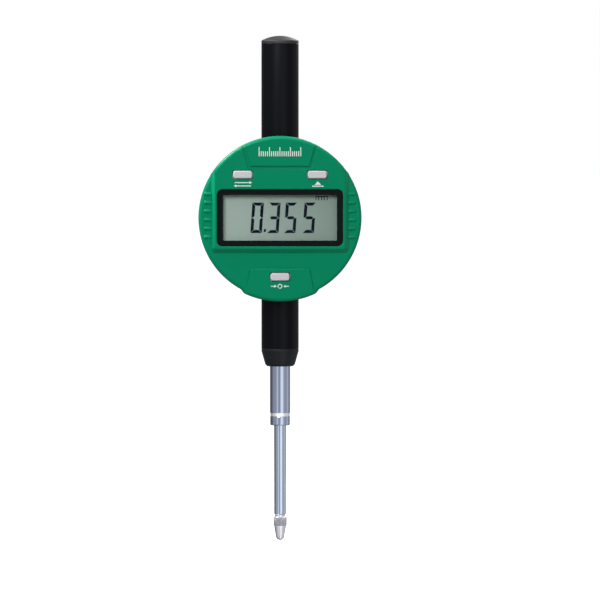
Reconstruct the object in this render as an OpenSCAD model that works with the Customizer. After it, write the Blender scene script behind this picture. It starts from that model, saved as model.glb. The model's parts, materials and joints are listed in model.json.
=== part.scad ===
// Digital dial indicator with a 25 mm plunger: a round case on a clamping stem.
// The spindle's axis is Z. The origin is on that axis at the shoulder where the stem leaves
// the nose, +Z is up towards the case, and the display faces -Y. All sizes are millimetres.

/* [Case] */
// Diameter of the round front cover
case_d = 64.4; // [60:0.2:78]
// Thickness of the front cover's side wall
case_wall = 2.2; // [1.6:0.1:3]
// Thickness of the front cover's face
face_t = 1.7; // [1.2:0.1:2.2]
// Depth of the front cover, from the parting line to the raised pad
front_depth = 7.6; // [7:0.1:9]
// How far the raised pad stands above the lower floor of the face
pad_step = 1.7; // [1:0.1:2]
// Half the width of the raised pad
pad_half_w = 25.6; // [25.4:0.1:26.4]
// Height of the pad's lower edge below the case's centre
pad_below = 12.3; // [12.2:0.1:13]
// How far the lower panel stands above the floor of the face
panel_step = 0.9; // [0.5:0.1:1.4]
// Radius of the rounded rim
rim_round = 1.4; // [0.8:0.1:1.6]
// How far the lug around the lower tube stands out of the round outline
lug_rise = 0.9; // [0.4:0.1:1.5]
// Half the width of the lug
lug_half_w = 14.2; // [13:0.2:16]
// How much smaller than the cover the rear housing is, on the radius
housing_inset = 0.3; // [0.1:0.1:0.6]
// Thickness of the rear housing's side wall
housing_wall = 2; // [1.6:0.1:2.6]
// Thickness of the back cover
back_t = 2; // [1.6:0.1:3]
// Thickness of the flat gasket in the parting line
gasket_t = 0.4; // [0.3:0.1:0.6]

/* [Side grips] */
// Number of finger ribs on each side
rib_count = 6; // [4:1:7]
// Distance from one rib to the next
rib_pitch = 3.4; // [3:0.1:4]
// Radius of a rib's rounded back
rib_r = 0.9; // [0.6:0.1:1.2]
// How far a rib stands out of the floor
rib_rise = 0.55; // [0.3:0.05:0.8]

/* [Display] */
// Width of the black display bezel
bezel_w = 49.6; // [48:0.2:50.4]
// Height of the black display bezel
bezel_h = 22.4; // [20:0.1:23]
// Width of the opening in the bezel
view_w = 44.9; // [40:0.1:45.4]
// Height of the opening in the bezel
view_h = 18; // [15:0.1:18.4]
// Thickness of the clear window
window_t = 0.9; // [0.6:0.1:1]
// Thickness of the liquid crystal panel
lcd_t = 1.6; // [1.2:0.1:1.8]

/* [Buttons] */
// Width of a button
button_w = 7.5; // [6:0.1:9.2]
// Height of a button
button_h = 3; // [2.6:0.1:3.7]
// Corner radius of a button
button_round = 1; // [0.5:0.1:1.2]
// How far a button stands out of the face
button_rise = 0.7; // [0.6:0.1:1]
// How far a button can be pressed
button_travel = 0.5; // [0.3:0.1:0.6]
// Distance of the two upper buttons from the centre, sideways
button_x = 14.7; // [13:0.1:15]
// Height of the two upper buttons above the case's centre
button_z = 17; // [16.6:0.1:17.4]
// Distance of the lower button below the case's centre
zero_below = 23.3; // [22.8:0.1:23.6]

/* [Tubes] */
// Diameter of the upper and lower tubes
tube_d = 14.76; // [14:0.02:18]
// Length of the upper tube above the case
upper_len = 36.5; // [32:0.5:46]
// Length of the lower tube between the nose and the case
lower_len = 18.9; // [16:0.1:24]
// Wall of the upper tube
tube_wall = 1.78; // [1.4:0.02:2.4]
// Height of the cap's straight rim
cap_rim_h = 1.2; // [0.8:0.1:2]
// Height of the cap's dome
cap_dome_h = 1.9; // [1:0.1:3]
// Length of the cap's plug inside the tube
cap_plug_len = 4; // [3:0.5:6]
// Height of the nose below the lower tube
nose_h = 7; // [6:0.1:9]
// Width of the nose's shoulder around the stem
nose_shoulder = 1.9; // [1.5:0.1:2.1]

/* [Stem] */
// Diameter of the clamping stem
stem_d = 8; // [7:0.1:9.6]
// Length of the clamping stem from the shoulder to the groove
stem_len = 18.5; // [15:0.5:24]
// Width of the groove above the end ring
groove_w = 1.3; // [0.8:0.1:2]
// Depth of the groove
groove_depth = 0.2; // [0.1:0.05:0.3]
// Length of the end ring
end_ring_len = 3.6; // [3:0.1:5]
// How much smaller than the stem the end ring is, on the radius, so that it passes a holder's bore
end_ring_inset = 0.1; // [0.05:0.05:0.2]

/* [Spindle] */
// Diameter of the spindle
spindle_d = 4.75; // [4:0.05:5.7]
// Travel of the spindle
travel = 26; // [20:0.5:31]
// Length of spindle that shows below the stem at rest
exposed_len = 35.5; // [33:0.5:45]
// Wall of the plain bushes
bush_wall = 0.68; // [0.5:0.02:0.9]
// Radial gap between the spindle and its bushes
running_gap = 0.05; // [0.02:0.01:0.09]
// Diameter of the knurled collar on the contact point
collar_d = 5.35; // [5:0.05:6.4]
// Height of the knurled collar
collar_h = 3.6; // [3:0.1:5]
// Length of the contact point below its collar
point_len = 5.7; // [5:0.1:8]
// Diameter of the ball in the contact point
ball_d = 3.4; // [2.6:0.1:3.6]

/* [Carriage and spring] */
// Height of the carriage block
carriage_h = 12; // [9:0.5:14]
// Diameter of the rod that stops the carriage from turning
guide_d = 2; // [1.6:0.1:2.4]
// Gap between the guide rod and the line of the tubes' wall
guide_gap = 0.62; // [0.4:0.02:2]
// Wire diameter of the return spring
wire_d = 0.4; // [0.3:0.05:0.5]
// Number of turns of the return spring
spring_turns = 12; // [9:1:14]

/* [Battery] */
// Diameter of the coin cell
cell_d = 20; // [16:0.1:20.4]
// Thickness of the coin cell
cell_t = 3.2; // [1.6:0.1:3.3]
// Diameter of the battery cover in the back
lid_d = 22.4; // [21:0.1:22.8]
// Radial gap around the battery cover
lid_gap = 0.1; // [0.05:0.05:0.3]

/* [Fasteners] */
// Thread diameter of the case screws
case_screw_d = 2; // [1.6:0.1:2.5]
// Thread diameter of the circuit board's screws
board_screw_d = 1.6; // [1.4:0.1:2]

/* [Hidden] */
$fn = 96;

GREEN = "#047f60";
BLACK = "#141415";
STEEL = "#b9bdc9";
BRONZE = "#a97c48";

// Radii that several pieces share.
case_r = case_d / 2;
lug_r = case_r + lug_rise;
inner_r = case_r - case_wall;
housing_r = case_r - housing_inset;
housing_in_r = housing_r - housing_wall;
tube_r = tube_d / 2;
stem_r = stem_d / 2;
spindle_r = spindle_d / 2;
bush_in_r = spindle_r + running_gap;
bush_r = bush_in_r + bush_wall;

// Depths, counted forwards from the spindle's axis. A depth d lies at y = -d.
seat_wall = 0.62;
split_d = tube_r + seat_wall;
pad_d = split_d + front_depth;
floor_d = pad_d - pad_step;
panel_d = floor_d + panel_step;
pad_ceiling_d = pad_d - face_t;
floor_ceiling_d = floor_d - face_t;
back_y = tube_r + seat_wall;
back_face_y = back_y + back_t;
board_gap = 0.3;
board_t = 1.2;
board_back_d = split_d + board_gap;
board_front_d = board_back_d + board_t;

// Heights above the shoulder.
case_cz = nose_h + lower_len + lug_r;
seat_depth = 2;
seat_low_z = case_cz - housing_in_r + seat_depth;
seat_high_z = case_cz + housing_in_r - 7;
seat_lip = 1.5;
upper_tube_z = seat_high_z + seat_lip;
upper_top_z = case_cz + case_r + upper_len;
stem_top_z = seat_low_z + 1;
buffer_h = 1.5;
carriage_z = stem_top_z + buffer_h;
carriage_top_z = carriage_z + carriage_h;
stop_gap = 0.5;
ring_low_z = -stem_len - groove_w - end_ring_len;
spindle_low_z = ring_low_z - exposed_len;
spindle_top_z = upper_top_z - cap_plug_len - travel - 3;

// Outline of the lug and of the two panels on the face, from the case's centre.
lug_notch_w = 1.3;
lug_corner_z = sqrt(pow(lug_r, 2) - pow(lug_half_w, 2));
lug_root_z = sqrt(pow(case_r, 2) - pow(lug_half_w + lug_notch_w, 2));
panel_top_half_w = 11.6;
panel_top_below = 20;
groove_panel_z = 19.9;
groove_low_x = 12;
groove_rim_x = 14.5;
face_groove_w = 1;
face_groove_t = 0.6;
pad_slope_w = 1.7;

// How far a cutting body runs past the faces it cuts.
cut = 0.5;

// ---------------------------------------------------------------- shared shapes

module at_case(x = 0, z = 0) {
    translate([x, 0, case_cz + z]) children();
}

// A cylinder along Y between two depths.
module rod_d(r, d0, d1) {
    translate([0, -d0, 0]) rotate([90, 0, 0]) cylinder(r = r, h = d1 - d0);
}

// A cylinder along Z between two heights.
module rod_z(r, z0, z1) {
    translate([0, 0, z0]) cylinder(r = r, h = z1 - z0);
}

// A tube along Z between two heights.
module tube_z(ro, ri, z0, z1) {
    difference() {
        rod_z(ro, z0, z1);
        rod_z(ri, z0 - cut, z1 + cut);
    }
}

// A flat outline of a rectangle with round corners.
module rounded_rect(w, h, r) {
    square([w - 2 * r, h], center = true);
    square([w, h - 2 * r], center = true);
    for (sx = [-1, 1], sz = [-1, 1])
        translate([sx * (w / 2 - r), sz * (h / 2 - r)]) circle(r = r, $fn = 32);
}

// A rectangular plate with round corners, facing forwards, between two depths.
module plate_d(w, h, r, d0, d1) {
    translate([0, -d0, 0]) rotate([90, 0, 0]) linear_extrude(d1 - d0) rounded_rect(w, h, r);
}

// A box from its two corners.
module box_between(low, high) {
    translate(low) cube(high - low);
}

// A disc along Y whose front edge is rounded.
module soft_disc(r, d0, d1, edge) {
    h = d1 - d0;
    translate([0, -d0, 0]) rotate([90, 0, 0]) rotate_extrude() {
        square([r - edge, h]);
        square([r, h - edge]);
        translate([r - edge, h - edge]) intersection() {
            circle(r = edge, $fn = 48);
            square(edge);
        }
    }
}

// The lug's outline, seen from the front, reaching up past the case's round outline.
module lug_outline(grow = 0) {
    w = lug_half_w + grow;
    polygon([
        [-w, -lug_r - cut],
        [w, -lug_r - cut],
        [w, -lug_corner_z],
        [w + lug_notch_w, -lug_root_z],
        [w + lug_notch_w, -lug_root_z + 2],
        [-w - lug_notch_w, -lug_root_z + 2],
        [-w - lug_notch_w, -lug_root_z],
        [-w, -lug_corner_z]
    ]);
}

// The lower panel's outline: narrow at the top, as wide as the lug at the bottom.
module panel_outline() {
    polygon([
        [-lug_half_w, -lug_r - cut],
        [lug_half_w, -lug_r - cut],
        [lug_half_w, -lug_corner_z],
        [panel_top_half_w, -panel_top_below],
        [-panel_top_half_w, -panel_top_below],
        [-lug_half_w, -lug_corner_z]
    ]);
}

// A front outline made solid between two depths.
module slab_d(d0, d1) {
    translate([0, -d0, 0]) rotate([90, 0, 0]) linear_extrude(d1 - d0) children();
}

// Places its children at each case screw. Each screw's column runs into the housing's wall.
case_screw_boss_r = case_screw_d / 2 + 1.4;
board_screw_boss_r = board_screw_d / 2 + 1;
case_screw_ring = housing_in_r - case_screw_boss_r + 0.5;
case_screw_angle = 33.7;
module at_case_screws() {
    for (sx = [-1, 1], sz = [-1, 1])
        at_case(sx * case_screw_ring * cos(case_screw_angle), sz * case_screw_ring * sin(case_screw_angle))
            children();
}

// Places its children at each screw of the circuit board: two high and two low.
board_screws_high = [9, 23.5];
board_screws_low = [14, -20];
module at_board_screws(spots = [board_screws_high, board_screws_low]) {
    for (spot = spots, side = [-1, 1])
        at_case(side * spot[0], spot[1]) children();
}

// The three buttons: sideways place, height and depth of the face around each.
UNITS = [-button_x, button_z, pad_d];
ORIGIN = [button_x, button_z, pad_d];
ZERO = [0, -zero_below, panel_d];

// ---------------------------------------------------------------- case

button_gap = 0.4;
flange_reach = 0.8;
pad_cavity_half_w = pad_half_w - 0.6;
pad_cavity_below = pad_below - 0.3;

// The raised pad: sloped at both sides and along its lower edge, open to the rim at the top.
module pad_body() {
    base = -floor_d + cut;
    intersection() {
        soft_disc(case_r, split_d, pad_d, rim_round);
        translate([0, 0, -case_d]) linear_extrude(2 * case_d) polygon([
            [-pad_half_w - pad_slope_w, base],
            [-pad_half_w - pad_slope_w, -floor_d],
            [-pad_half_w, -pad_d],
            [pad_half_w, -pad_d],
            [pad_half_w + pad_slope_w, -floor_d],
            [pad_half_w + pad_slope_w, base]
        ]);
        rotate([90, 0, 90]) translate([0, 0, -case_d]) linear_extrude(2 * case_d) polygon([
            [base, -pad_below - pad_slope_w],
            [-floor_d, -pad_below - pad_slope_w],
            [-pad_d, -pad_below],
            [-pad_d, case_d],
            [base, case_d]
        ]);
    }
}

// The finger ribs of one side, inside the rim.
module side_ribs(side) {
    for (i = [0 : rib_count - 1]) {
        z = (rib_count / 2 - 0.25 - i) * rib_pitch;
        reach = min(sqrt(pow(case_r - rim_round, 2) - pow(abs(z) + rib_r, 2)) - 0.3, case_r - rim_round);
        x0 = pad_half_w + pad_slope_w - 0.6;
        translate([side * (x0 + reach) / 2, -floor_d + rib_r - rib_rise, z])
            rotate([0, 90, 0]) cylinder(r = rib_r, h = reach - x0, center = true, $fn = 32);
    }
}

// The groove that outlines the upper panel: two slanted sides and a level foot.
module upper_groove() {
    lean = atan2(groove_rim_x - groove_low_x, lug_corner_z - groove_panel_z);
    for (side = [-1, 1])
        translate([side * groove_low_x, -pad_d, groove_panel_z]) rotate([0, side * lean, 0])
            translate([-face_groove_w / 2, -cut, -face_groove_w / 2])
                cube([face_groove_w, face_groove_t + cut, case_r]);
    translate([-groove_low_x, -pad_d - cut, groove_panel_z - face_groove_w / 2])
        cube([2 * groove_low_x, face_groove_t + cut, face_groove_w]);
}

// One button's hole, with the pocket behind it for the button's flange.
module button_hole(spot) {
    w = button_w + 2 * button_gap;
    h = button_h + 2 * button_gap;
    pocket_more = 2 * flange_reach + 0.6;
    at_case(spot[0], spot[1]) {
        plate_d(w, h, button_round + button_gap, split_d, pad_d + 1);
        plate_d(w + pocket_more, h + pocket_more, button_round, split_d, spot[2] - face_t);
    }
}

module front_cover() {
    color(GREEN) difference() {
        union() {
            at_case() soft_disc(case_r, split_d, floor_d, rim_round);
            at_case() intersection() {
                soft_disc(lug_r, split_d, floor_d, rim_round);
                slab_d(split_d - cut, pad_d) lug_outline();
            }
            at_case() intersection() {
                soft_disc(lug_r, split_d, panel_d, rim_round);
                slab_d(split_d - cut, pad_d) panel_outline();
            }
            at_case() pad_body();
            for (side = [-1, 1])
                at_case() side_ribs(side);
        }
        difference() {
            at_case() {
                rod_d(inner_r, split_d - cut, floor_ceiling_d);
                intersection() {
                    rod_d(inner_r, split_d, pad_ceiling_d);
                    box_between([-pad_cavity_half_w, -pad_d, -pad_cavity_below],
                        [pad_cavity_half_w, -split_d, case_r]);
                }
            }
            at_case_screws() rod_d(case_screw_boss_r, split_d - 2 * cut, pad_d);
            at_board_screws() rod_d(board_screw_boss_r, board_front_d, pad_d);
        }
        at_case_screws() rod_d(case_screw_d / 2, split_d - 3 * cut, floor_ceiling_d);
        at_board_screws() rod_d(board_screw_d / 2, board_front_d - cut, floor_ceiling_d);
        at_case() plate_d(bezel_w + 0.1, bezel_h + 0.1, bezel_round, split_d, pad_d + cut);
        at_case() upper_groove();
        button_hole(UNITS);
        button_hole(ORIGIN);
        button_hole(ZERO);
    }
}

seat_r = tube_r + 1.8;
module rear_housing() {
    color(BLACK) difference() {
        union() {
            difference() {
                at_case() housing_outline();
                at_case() rod_d(housing_in_r, -back_y - cut, split_d + cut);
            }
            intersection() {
                at_case() housing_outline();
                union() {
                    rod_z(seat_r, case_cz - 2 * case_r, seat_low_z);
                    rod_z(seat_r, seat_high_z, case_cz + 2 * case_r);
                    at_case_screws() rod_d(case_screw_boss_r, -back_y, split_d);
                    guide_seats();
                }
            }
        }
        rod_z(tube_r, case_cz - 2 * case_r, seat_low_z + cut);
        rod_z(tube_r, upper_tube_z, case_cz + 2 * case_r);
        rod_z(spring_out_r + 0.6, seat_high_z - cut, upper_tube_z + cut);
        at_case_screws() rod_d(case_screw_d / 2 + 0.1, -back_y - cut, split_d + cut);
        translate([-guide_x, -guide_y, 0]) rod_z(guide_d / 2, guide_low_z, guide_high_z);
        at_case() difference() {
            rod_d(gasket_out_r, split_d - gasket_t, split_d + cut);
            rod_d(gasket_in_r, split_d - 2 * gasket_t, split_d + 2 * cut);
        }
    }
}

// The rear housing's outer outline, lug included, as a solid block.
module housing_outline() {
    rod_d(housing_r, -back_y, split_d);
    intersection() {
        rod_d(lug_r - housing_inset, -back_y, split_d);
        slab_d(-back_y, split_d) lug_outline(-housing_inset);
    }
}

gasket_in_r = housing_in_r + 0.5;
gasket_out_r = housing_r - 0.5;
module case_gasket() {
    color("#2a2a2c") at_case() difference() {
        rod_d(gasket_out_r, split_d - gasket_t, split_d);
        rod_d(gasket_in_r, split_d - gasket_t - cut, split_d + cut);
    }
}

lid_r = lid_d / 2;
bayonet_reach = 1.1;
bayonet_t = 0.7;
lid_inner_y = back_y - 0.9;
case_screw_head_r = case_screw_d * 0.95;
case_screw_head_t = case_screw_d * 0.6;
unlock_angle = 45;
back_edge = 0.8;
module back_cover() {
    lip_t = 0.8;
    color(BLACK) difference() {
        union() {
            at_case() rotate([0, 0, 180]) {
                soft_disc(housing_r, back_y, back_face_y, back_edge);
                intersection() {
                    soft_disc(lug_r - housing_inset, back_y, back_face_y, back_edge);
                    slab_d(back_y, back_face_y) lug_outline(-housing_inset);
                }
            }
            at_case() difference() {
                rod_d(housing_in_r - 0.1, -back_y, -back_y + lip_t);
                rod_d(housing_in_r - 1, -back_y - cut, -back_y + 2 * lip_t);
                for (side = [-1, 1])
                    rotate([0, 90 * (side + 1), 0])
                        box_between([-seat_r - 0.3, -back_y, 0], [seat_r + 0.3, back_y + cut, case_r]);
                at_case_screw_gaps();
            }
        }
        at_case_screws() rod_d(case_screw_d / 2 + 0.1, -back_face_y - cut, 0);
        at_case_screws()
            rod_d(case_screw_head_r + 0.15, -back_face_y - cut, -back_face_y + case_screw_head_t);
        at_case(cell_x) rod_d(lid_r + lid_gap, -back_face_y - cut, 0);
        at_case(cell_x) rotate([0, unlock_angle, 0]) bayonet_tabs(0.2, -back_face_y - cut, 0);
    }
}

// The two tabs that hold the battery cover, or with a gap, the notches that let them out.
module bayonet_tabs(gap, d0, d1) {
    half_w = 3 + gap;
    intersection() {
        rod_d(lid_r + bayonet_reach + gap, d0, d1);
        box_between([-half_w, -back_face_y - cut, -lid_d], [half_w, back_face_y + cut, lid_d]);
    }
}

// Clears the back cover's lip around the screw columns.
module at_case_screw_gaps() {
    screw_x = case_screw_ring * cos(case_screw_angle);
    screw_z = case_screw_ring * sin(case_screw_angle);
    for (sx = [-1, 1], sz = [-1, 1])
        translate([sx * screw_x, 0, sz * screw_z]) rod_d(case_screw_boss_r + 0.3, -back_y, 0);
}

module case_screws() {
    socket_r = case_screw_d * 0.4;
    color(STEEL) at_case_screws() difference() {
        union() {
            rod_d(case_screw_head_r, -back_face_y + 0.15, -back_face_y + case_screw_head_t);
            rod_d(case_screw_d / 2, -back_face_y + case_screw_head_t, floor_ceiling_d - cut);
        }
        translate([0, back_face_y, 0]) rotate([90, 0, 0])
            cylinder(r = socket_r, h = 0.8, $fn = 6);
    }
}

// ---------------------------------------------------------------- display

bezel_round = 2.2;
window_back_d = pad_ceiling_d - 0.5;
window_front_d = window_back_d + window_t;
lcd_front_d = window_back_d - 0.4;
lcd_back_d = lcd_front_d - lcd_t;
lcd_border = 1.3;
reflector_t = 0.4;
frame_wall = 1;
lcd_w = view_w + 2 * lcd_border;
lcd_h = view_h + 2 * lcd_border + 0.6;
window_w = view_w + 2.2;
window_h = view_h + 2.2;

module display_bezel() {
    flange_w = pad_cavity_half_w * 2 - 0.4;
    flange_h = bezel_h + 1;
    color("#0e1616") at_case() difference() {
        union() {
            plate_d(bezel_w, bezel_h, bezel_round - 0.05, window_back_d, pad_d - 0.1);
            plate_d(max(flange_w, bezel_w), flange_h, bezel_round, window_back_d, pad_ceiling_d);
        }
        plate_d(view_w, view_h, 0.4, window_back_d - cut, pad_d);
        plate_d(window_w, window_h, 0.4, window_back_d - cut, window_front_d);
    }
}

module display_window() {
    color([0.85, 0.9, 0.88, 0.35]) at_case()
        plate_d(window_w, window_h, 0.4, window_back_d, window_front_d);
}

module lcd_panel() {
    color("#95a99f") at_case() plate_d(lcd_w, lcd_h, 0.2, lcd_back_d, lcd_front_d);
}

module lcd_reflector() {
    color("#d8dcda") at_case()
        plate_d(view_w - 0.6, view_h - 2.2, 0.2, lcd_back_d - reflector_t, lcd_back_d);
}

module lcd_frame() {
    lower_h = lcd_h - 0.6;
    color("#e8e8e4") at_case() difference() {
        plate_d(lcd_w + 2 * frame_wall, lcd_h + 2 * frame_wall, 0.6, board_front_d, lcd_front_d);
        plate_d(lcd_w, lcd_h, 0.2, lcd_back_d, lcd_front_d + cut);
        plate_d(view_w, lower_h, 0.2, board_front_d - cut, lcd_front_d);
    }
}

module lcd_connectors() {
    strip_h = 1.8;
    place = lcd_h / 2 - 0.3 - strip_h / 2;
    color("#d46a86") for (side = [-1, 1])
        at_case(0, side * place)
            box_between([-view_w / 2 + 0.5, -lcd_back_d, -strip_h / 2],
                [view_w / 2 - 0.5, -board_front_d, strip_h / 2]);
}

// ---------------------------------------------------------------- buttons and board

flange_t = 0.8;
post_end_d = board_front_d + 2.4;
post_r = 1.3;
flange_back_gap = 0.1;
plunger_gap = 0.05;
module button(spot) {
    inside = spot[2] - face_t - flange_back_gap;
    color("#c6c9cb") at_case(spot[0], spot[1]) {
        plate_d(button_w, button_h, button_round, inside - flange_t, spot[2] + button_rise);
        plate_d(button_w + 2 * flange_reach, button_h + 2 * flange_reach, button_round,
            inside - flange_t, inside);
        rod_d(post_r, post_end_d, inside - flange_t);
    }
}

module units_button() button(UNITS);
module origin_button() button(ORIGIN);
module zero_button() button(ZERO);

module tact_switches() {
    body_w = 4.2;
    body_h = 3.2;
    body_t = 1.4;
    color("#3b3b3d") for (spot = [UNITS, ORIGIN, ZERO])
        at_case(spot[0], spot[1]) {
            plate_d(body_w, body_h, 0.3, board_front_d, board_front_d + body_t);
            rod_d(1, board_front_d + body_t, post_end_d - button_travel - plunger_gap);
        }
}

board_r = inner_r - 0.8;
module main_board() {
    color("#1d5c3a") difference() {
        at_case() rod_d(board_r, board_back_d, board_front_d);
        at_case_screws() rod_d(case_screw_boss_r + 0.3, split_d, pad_d);
        at_board_screws() rod_d(board_screw_d / 2 + 0.1, split_d, pad_d);
    }
}

module board_screws() {
    head_r = board_screw_d * 0.9;
    head_t = board_screw_d * 0.45;
    bite = 2;
    color(STEEL) at_board_screws() difference() {
        union() {
            rod_d(head_r, board_back_d - head_t, board_back_d);
            rod_d(board_screw_d / 2, board_back_d, board_front_d + bite);
        }
        for (turn = [0, 90])
            rotate([0, turn, 0])
                box_between([-head_r * 0.6, -board_back_d + head_t / 2, -0.2],
                    [head_r * 0.6, -board_back_d + 2 * head_t, 0.2]);
    }
}

module processor_chip() {
    color("#202022") at_case(-18, -6)
        box_between([-4.5, -board_back_d, -4.5], [4.5, -board_back_d + 1.2, 4.5]);
}

module crystal_can() {
    color(STEEL) at_case(-18, 8)
        plate_d(3, 8, 1.4, board_back_d - 2, board_back_d);
}

// ---------------------------------------------------------------- battery

block_half_w = spindle_r + 2.6;
cup_gap = 0.3;
cup_wall = 1.2;
cup_in_r = cell_d / 2 + cup_gap;
cup_r = cup_in_r + cup_wall;
cell_x = block_half_w + 0.8 + cup_r;
cell_back_y = lid_inner_y - 0.1;
cell_front_y = cell_back_y - cell_t;
contact_t = 0.25;
cup_floor_t = 0.8;
cup_floor_y = cell_front_y - contact_t;
strip_half_w = 2;
leaf_half_w = 1.5;

module battery_holder() {
    leg_r = 1.5;
    color("#2b2b2e") at_case(cell_x) difference() {
        union() {
            rod_d(cup_r, -cell_back_y, -cup_floor_y + cup_floor_t);
            for (sx = [-1, 1], sz = [-1, 1])
                translate([sx * cell_d / 4, 0, sz * cell_d / 4])
                    rod_d(leg_r, -cup_floor_y + cup_floor_t / 2, board_back_d);
        }
        rod_d(cup_in_r, -cell_back_y - cut, -cup_floor_y);
        rod_d(leaf_half_w + 0.5, -cup_floor_y - cut, -cup_floor_y + cup_floor_t + cut);
        box_between([-strip_half_w - 0.2, cup_floor_y - cup_floor_t - cut, cup_in_r - 2],
            [strip_half_w + 0.2, cell_back_y + cut, cup_r + cut]);
    }
}

module battery_cell() {
    rim_t = 0.5;
    color(STEEL) at_case(cell_x) {
        rod_d(cell_d / 2, -cell_back_y, -cell_front_y - rim_t);
        rod_d(cell_d / 2 - 1.4, -cell_front_y - rim_t, -cell_front_y);
    }
}

// A strip along the cup's wall, down to the board.
module battery_contact_plus() {
    color("#d0c08a") at_case(cell_x)
        box_between([-strip_half_w, -board_back_d, cell_d / 2],
            [strip_half_w, cell_back_y - 0.3, cell_d / 2 + contact_t]);
}

// A leaf under the cell, and its leg down to the board.
module battery_contact_minus() {
    color("#d0c08a") at_case(cell_x) {
        box_between([-leaf_half_w, cup_floor_y, -6], [leaf_half_w, cell_front_y, leaf_half_w]);
        box_between([-1.2, -board_back_d, -contact_t / 2],
            [1.2, cup_floor_y + contact_t / 2, contact_t / 2]);
    }
}

seal_d = -back_face_y + 0.6;
seal_w = 0.8;
seal_t = 0.5;
module battery_cover() {
    slot_l = lid_d * 0.5;
    slot_w = 1.6;
    slot_depth = 0.9;
    color(BLACK) at_case(cell_x) difference() {
        union() {
            rod_d(lid_r, -back_face_y, -lid_inner_y);
            bayonet_tabs(0, -lid_inner_y - bayonet_t, -lid_inner_y);
        }
        box_between([-slot_l / 2, back_face_y - slot_depth, -slot_w / 2],
            [slot_l / 2, back_face_y + cut, slot_w / 2]);
        difference() {
            rod_d(lid_r + cut, seal_d, seal_d + seal_w);
            rod_d(lid_r - seal_t, -back_face_y, 0);
        }
    }
}

module battery_cover_seal() {
    color("#2a2a2c") at_case(cell_x) difference() {
        rod_d(lid_r + lid_gap / 2, seal_d, seal_d + seal_w);
        rod_d(lid_r - seal_t, -back_face_y, 0);
    }
}

// ---------------------------------------------------------------- tubes and nose

tube_in_r = tube_r - tube_wall;
stem_step_r = stem_r + 0.3;
sleeve_r = stem_r + 1.4;
flange_z = 2.5;
spigot_z = flange_z + 1;
spigot_r = sleeve_r + 0.6;

module upper_tube() {
    color(BLACK) tube_z(tube_r, tube_in_r, upper_tube_z, upper_top_z);
}

// A domed cap whose plug slides into the upper tube.
module tube_cap() {
    rim_top_z = upper_top_z + cap_rim_h;
    dome_r = (pow(tube_r, 2) + pow(cap_dome_h, 2)) / (2 * cap_dome_h);
    color("#1d1d20") union() {
        rod_z(tube_in_r - running_gap, upper_top_z - cap_plug_len, rim_top_z);
        translate([0, 0, upper_top_z]) rotate_extrude() intersection() {
            translate([0, cap_rim_h + cap_dome_h - dome_r]) circle(r = dome_r);
            square([tube_r, cap_dome_h + cap_rim_h]);
        }
    }
}

module lower_tube() {
    color(BLACK) difference() {
        union() {
            rod_z(tube_r, nose_h, seat_low_z);
            rod_z(spigot_r, spigot_z, nose_h);
        }
        rod_z(sleeve_r, 0, seat_low_z + cut);
    }
}

module nose_cone() {
    straight = 1;
    soft = 0.8;
    tip_r = stem_r + nose_shoulder;
    cone_top_z = nose_h - straight;
    color("#232528") difference() {
        union() {
            rod_z(tube_r - 0.02, cone_top_z, nose_h);
            translate([0, 0, soft]) cylinder(r1 = tip_r, r2 = tube_r - 0.02, h = cone_top_z - soft);
            cylinder(r1 = tip_r - soft, r2 = tip_r, h = soft);
        }
        rod_z(stem_step_r, -cut, flange_z + cut);
        rod_z(sleeve_r, flange_z, spigot_z + cut);
        rod_z(spigot_r, spigot_z, nose_h + cut);
    }
}

// ---------------------------------------------------------------- stem and bushes

neck_r = stem_r - groove_depth;
end_spigot_r = (bush_r + neck_r) / 2;
end_spigot_len = 1.6;
ring_top_z = -stem_len - groove_w;
wiper_t = 1.3;
wiper_z = ring_top_z - end_spigot_len - wiper_t;

module stem() {
    color(STEEL) difference() {
        union() {
            rod_z(stem_r, -stem_len, 0);
            rod_z(stem_step_r, 0, flange_z);
            rod_z(neck_r, ring_top_z, -stem_len);
            rod_z(end_spigot_r, ring_top_z - end_spigot_len, ring_top_z);
            rod_z(sleeve_r, flange_z, stem_top_z);
        }
        rod_z(bush_r, ring_top_z - end_spigot_len - cut, stem_top_z + cut);
    }
}

module stem_end_ring() {
    soft = 0.3;
    ring_r = stem_r - end_ring_inset;
    color(STEEL) difference() {
        union() {
            rod_z(ring_r, ring_low_z + soft, ring_top_z);
            translate([0, 0, ring_low_z]) cylinder(r1 = ring_r - soft, r2 = ring_r, h = soft);
        }
        rod_z(end_spigot_r, wiper_z, ring_top_z + cut);
        rod_z(spindle_r + 0.25, ring_low_z - cut, wiper_z + cut);
    }
}

module wiper_seal() {
    color("#2a2a2c") tube_z(end_spigot_r, bush_in_r, wiper_z, wiper_z + wiper_t);
}

bush_len = 12;
module lower_bush() {
    color(BRONZE) tube_z(bush_r, bush_in_r, wiper_z + wiper_t, wiper_z + wiper_t + bush_len);
}

module middle_bush() {
    color(BRONZE) tube_z(bush_r, bush_in_r, stem_top_z - bush_len, stem_top_z);
}

// The upper bush: a body pressed into the upper tube, and a nose that stops the carriage.
bush_nose_r = bush_in_r + 0.62;
upper_bush_len = 8;
module upper_bush() {
    nose_z = carriage_top_z + travel + stop_gap;
    color(BRONZE) difference() {
        union() {
            rod_z(tube_in_r, upper_tube_z, upper_tube_z + upper_bush_len);
            rod_z(bush_nose_r, nose_z, upper_tube_z);
        }
        rod_z(bush_in_r, nose_z - cut, upper_tube_z + upper_bush_len + cut);
    }
}

module stop_buffer() {
    color("#2a2a2c") tube_z(sleeve_r - 0.3, bush_in_r + 0.3, stem_top_z, stem_top_z + buffer_h);
}

// ---------------------------------------------------------------- spindle

collar_top_z = spindle_low_z - 0.8;
collar_low_z = collar_top_z - collar_h;
stud_r = spindle_r * 0.53;
stud_len = 5;
neck_taper = 0.4;

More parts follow.
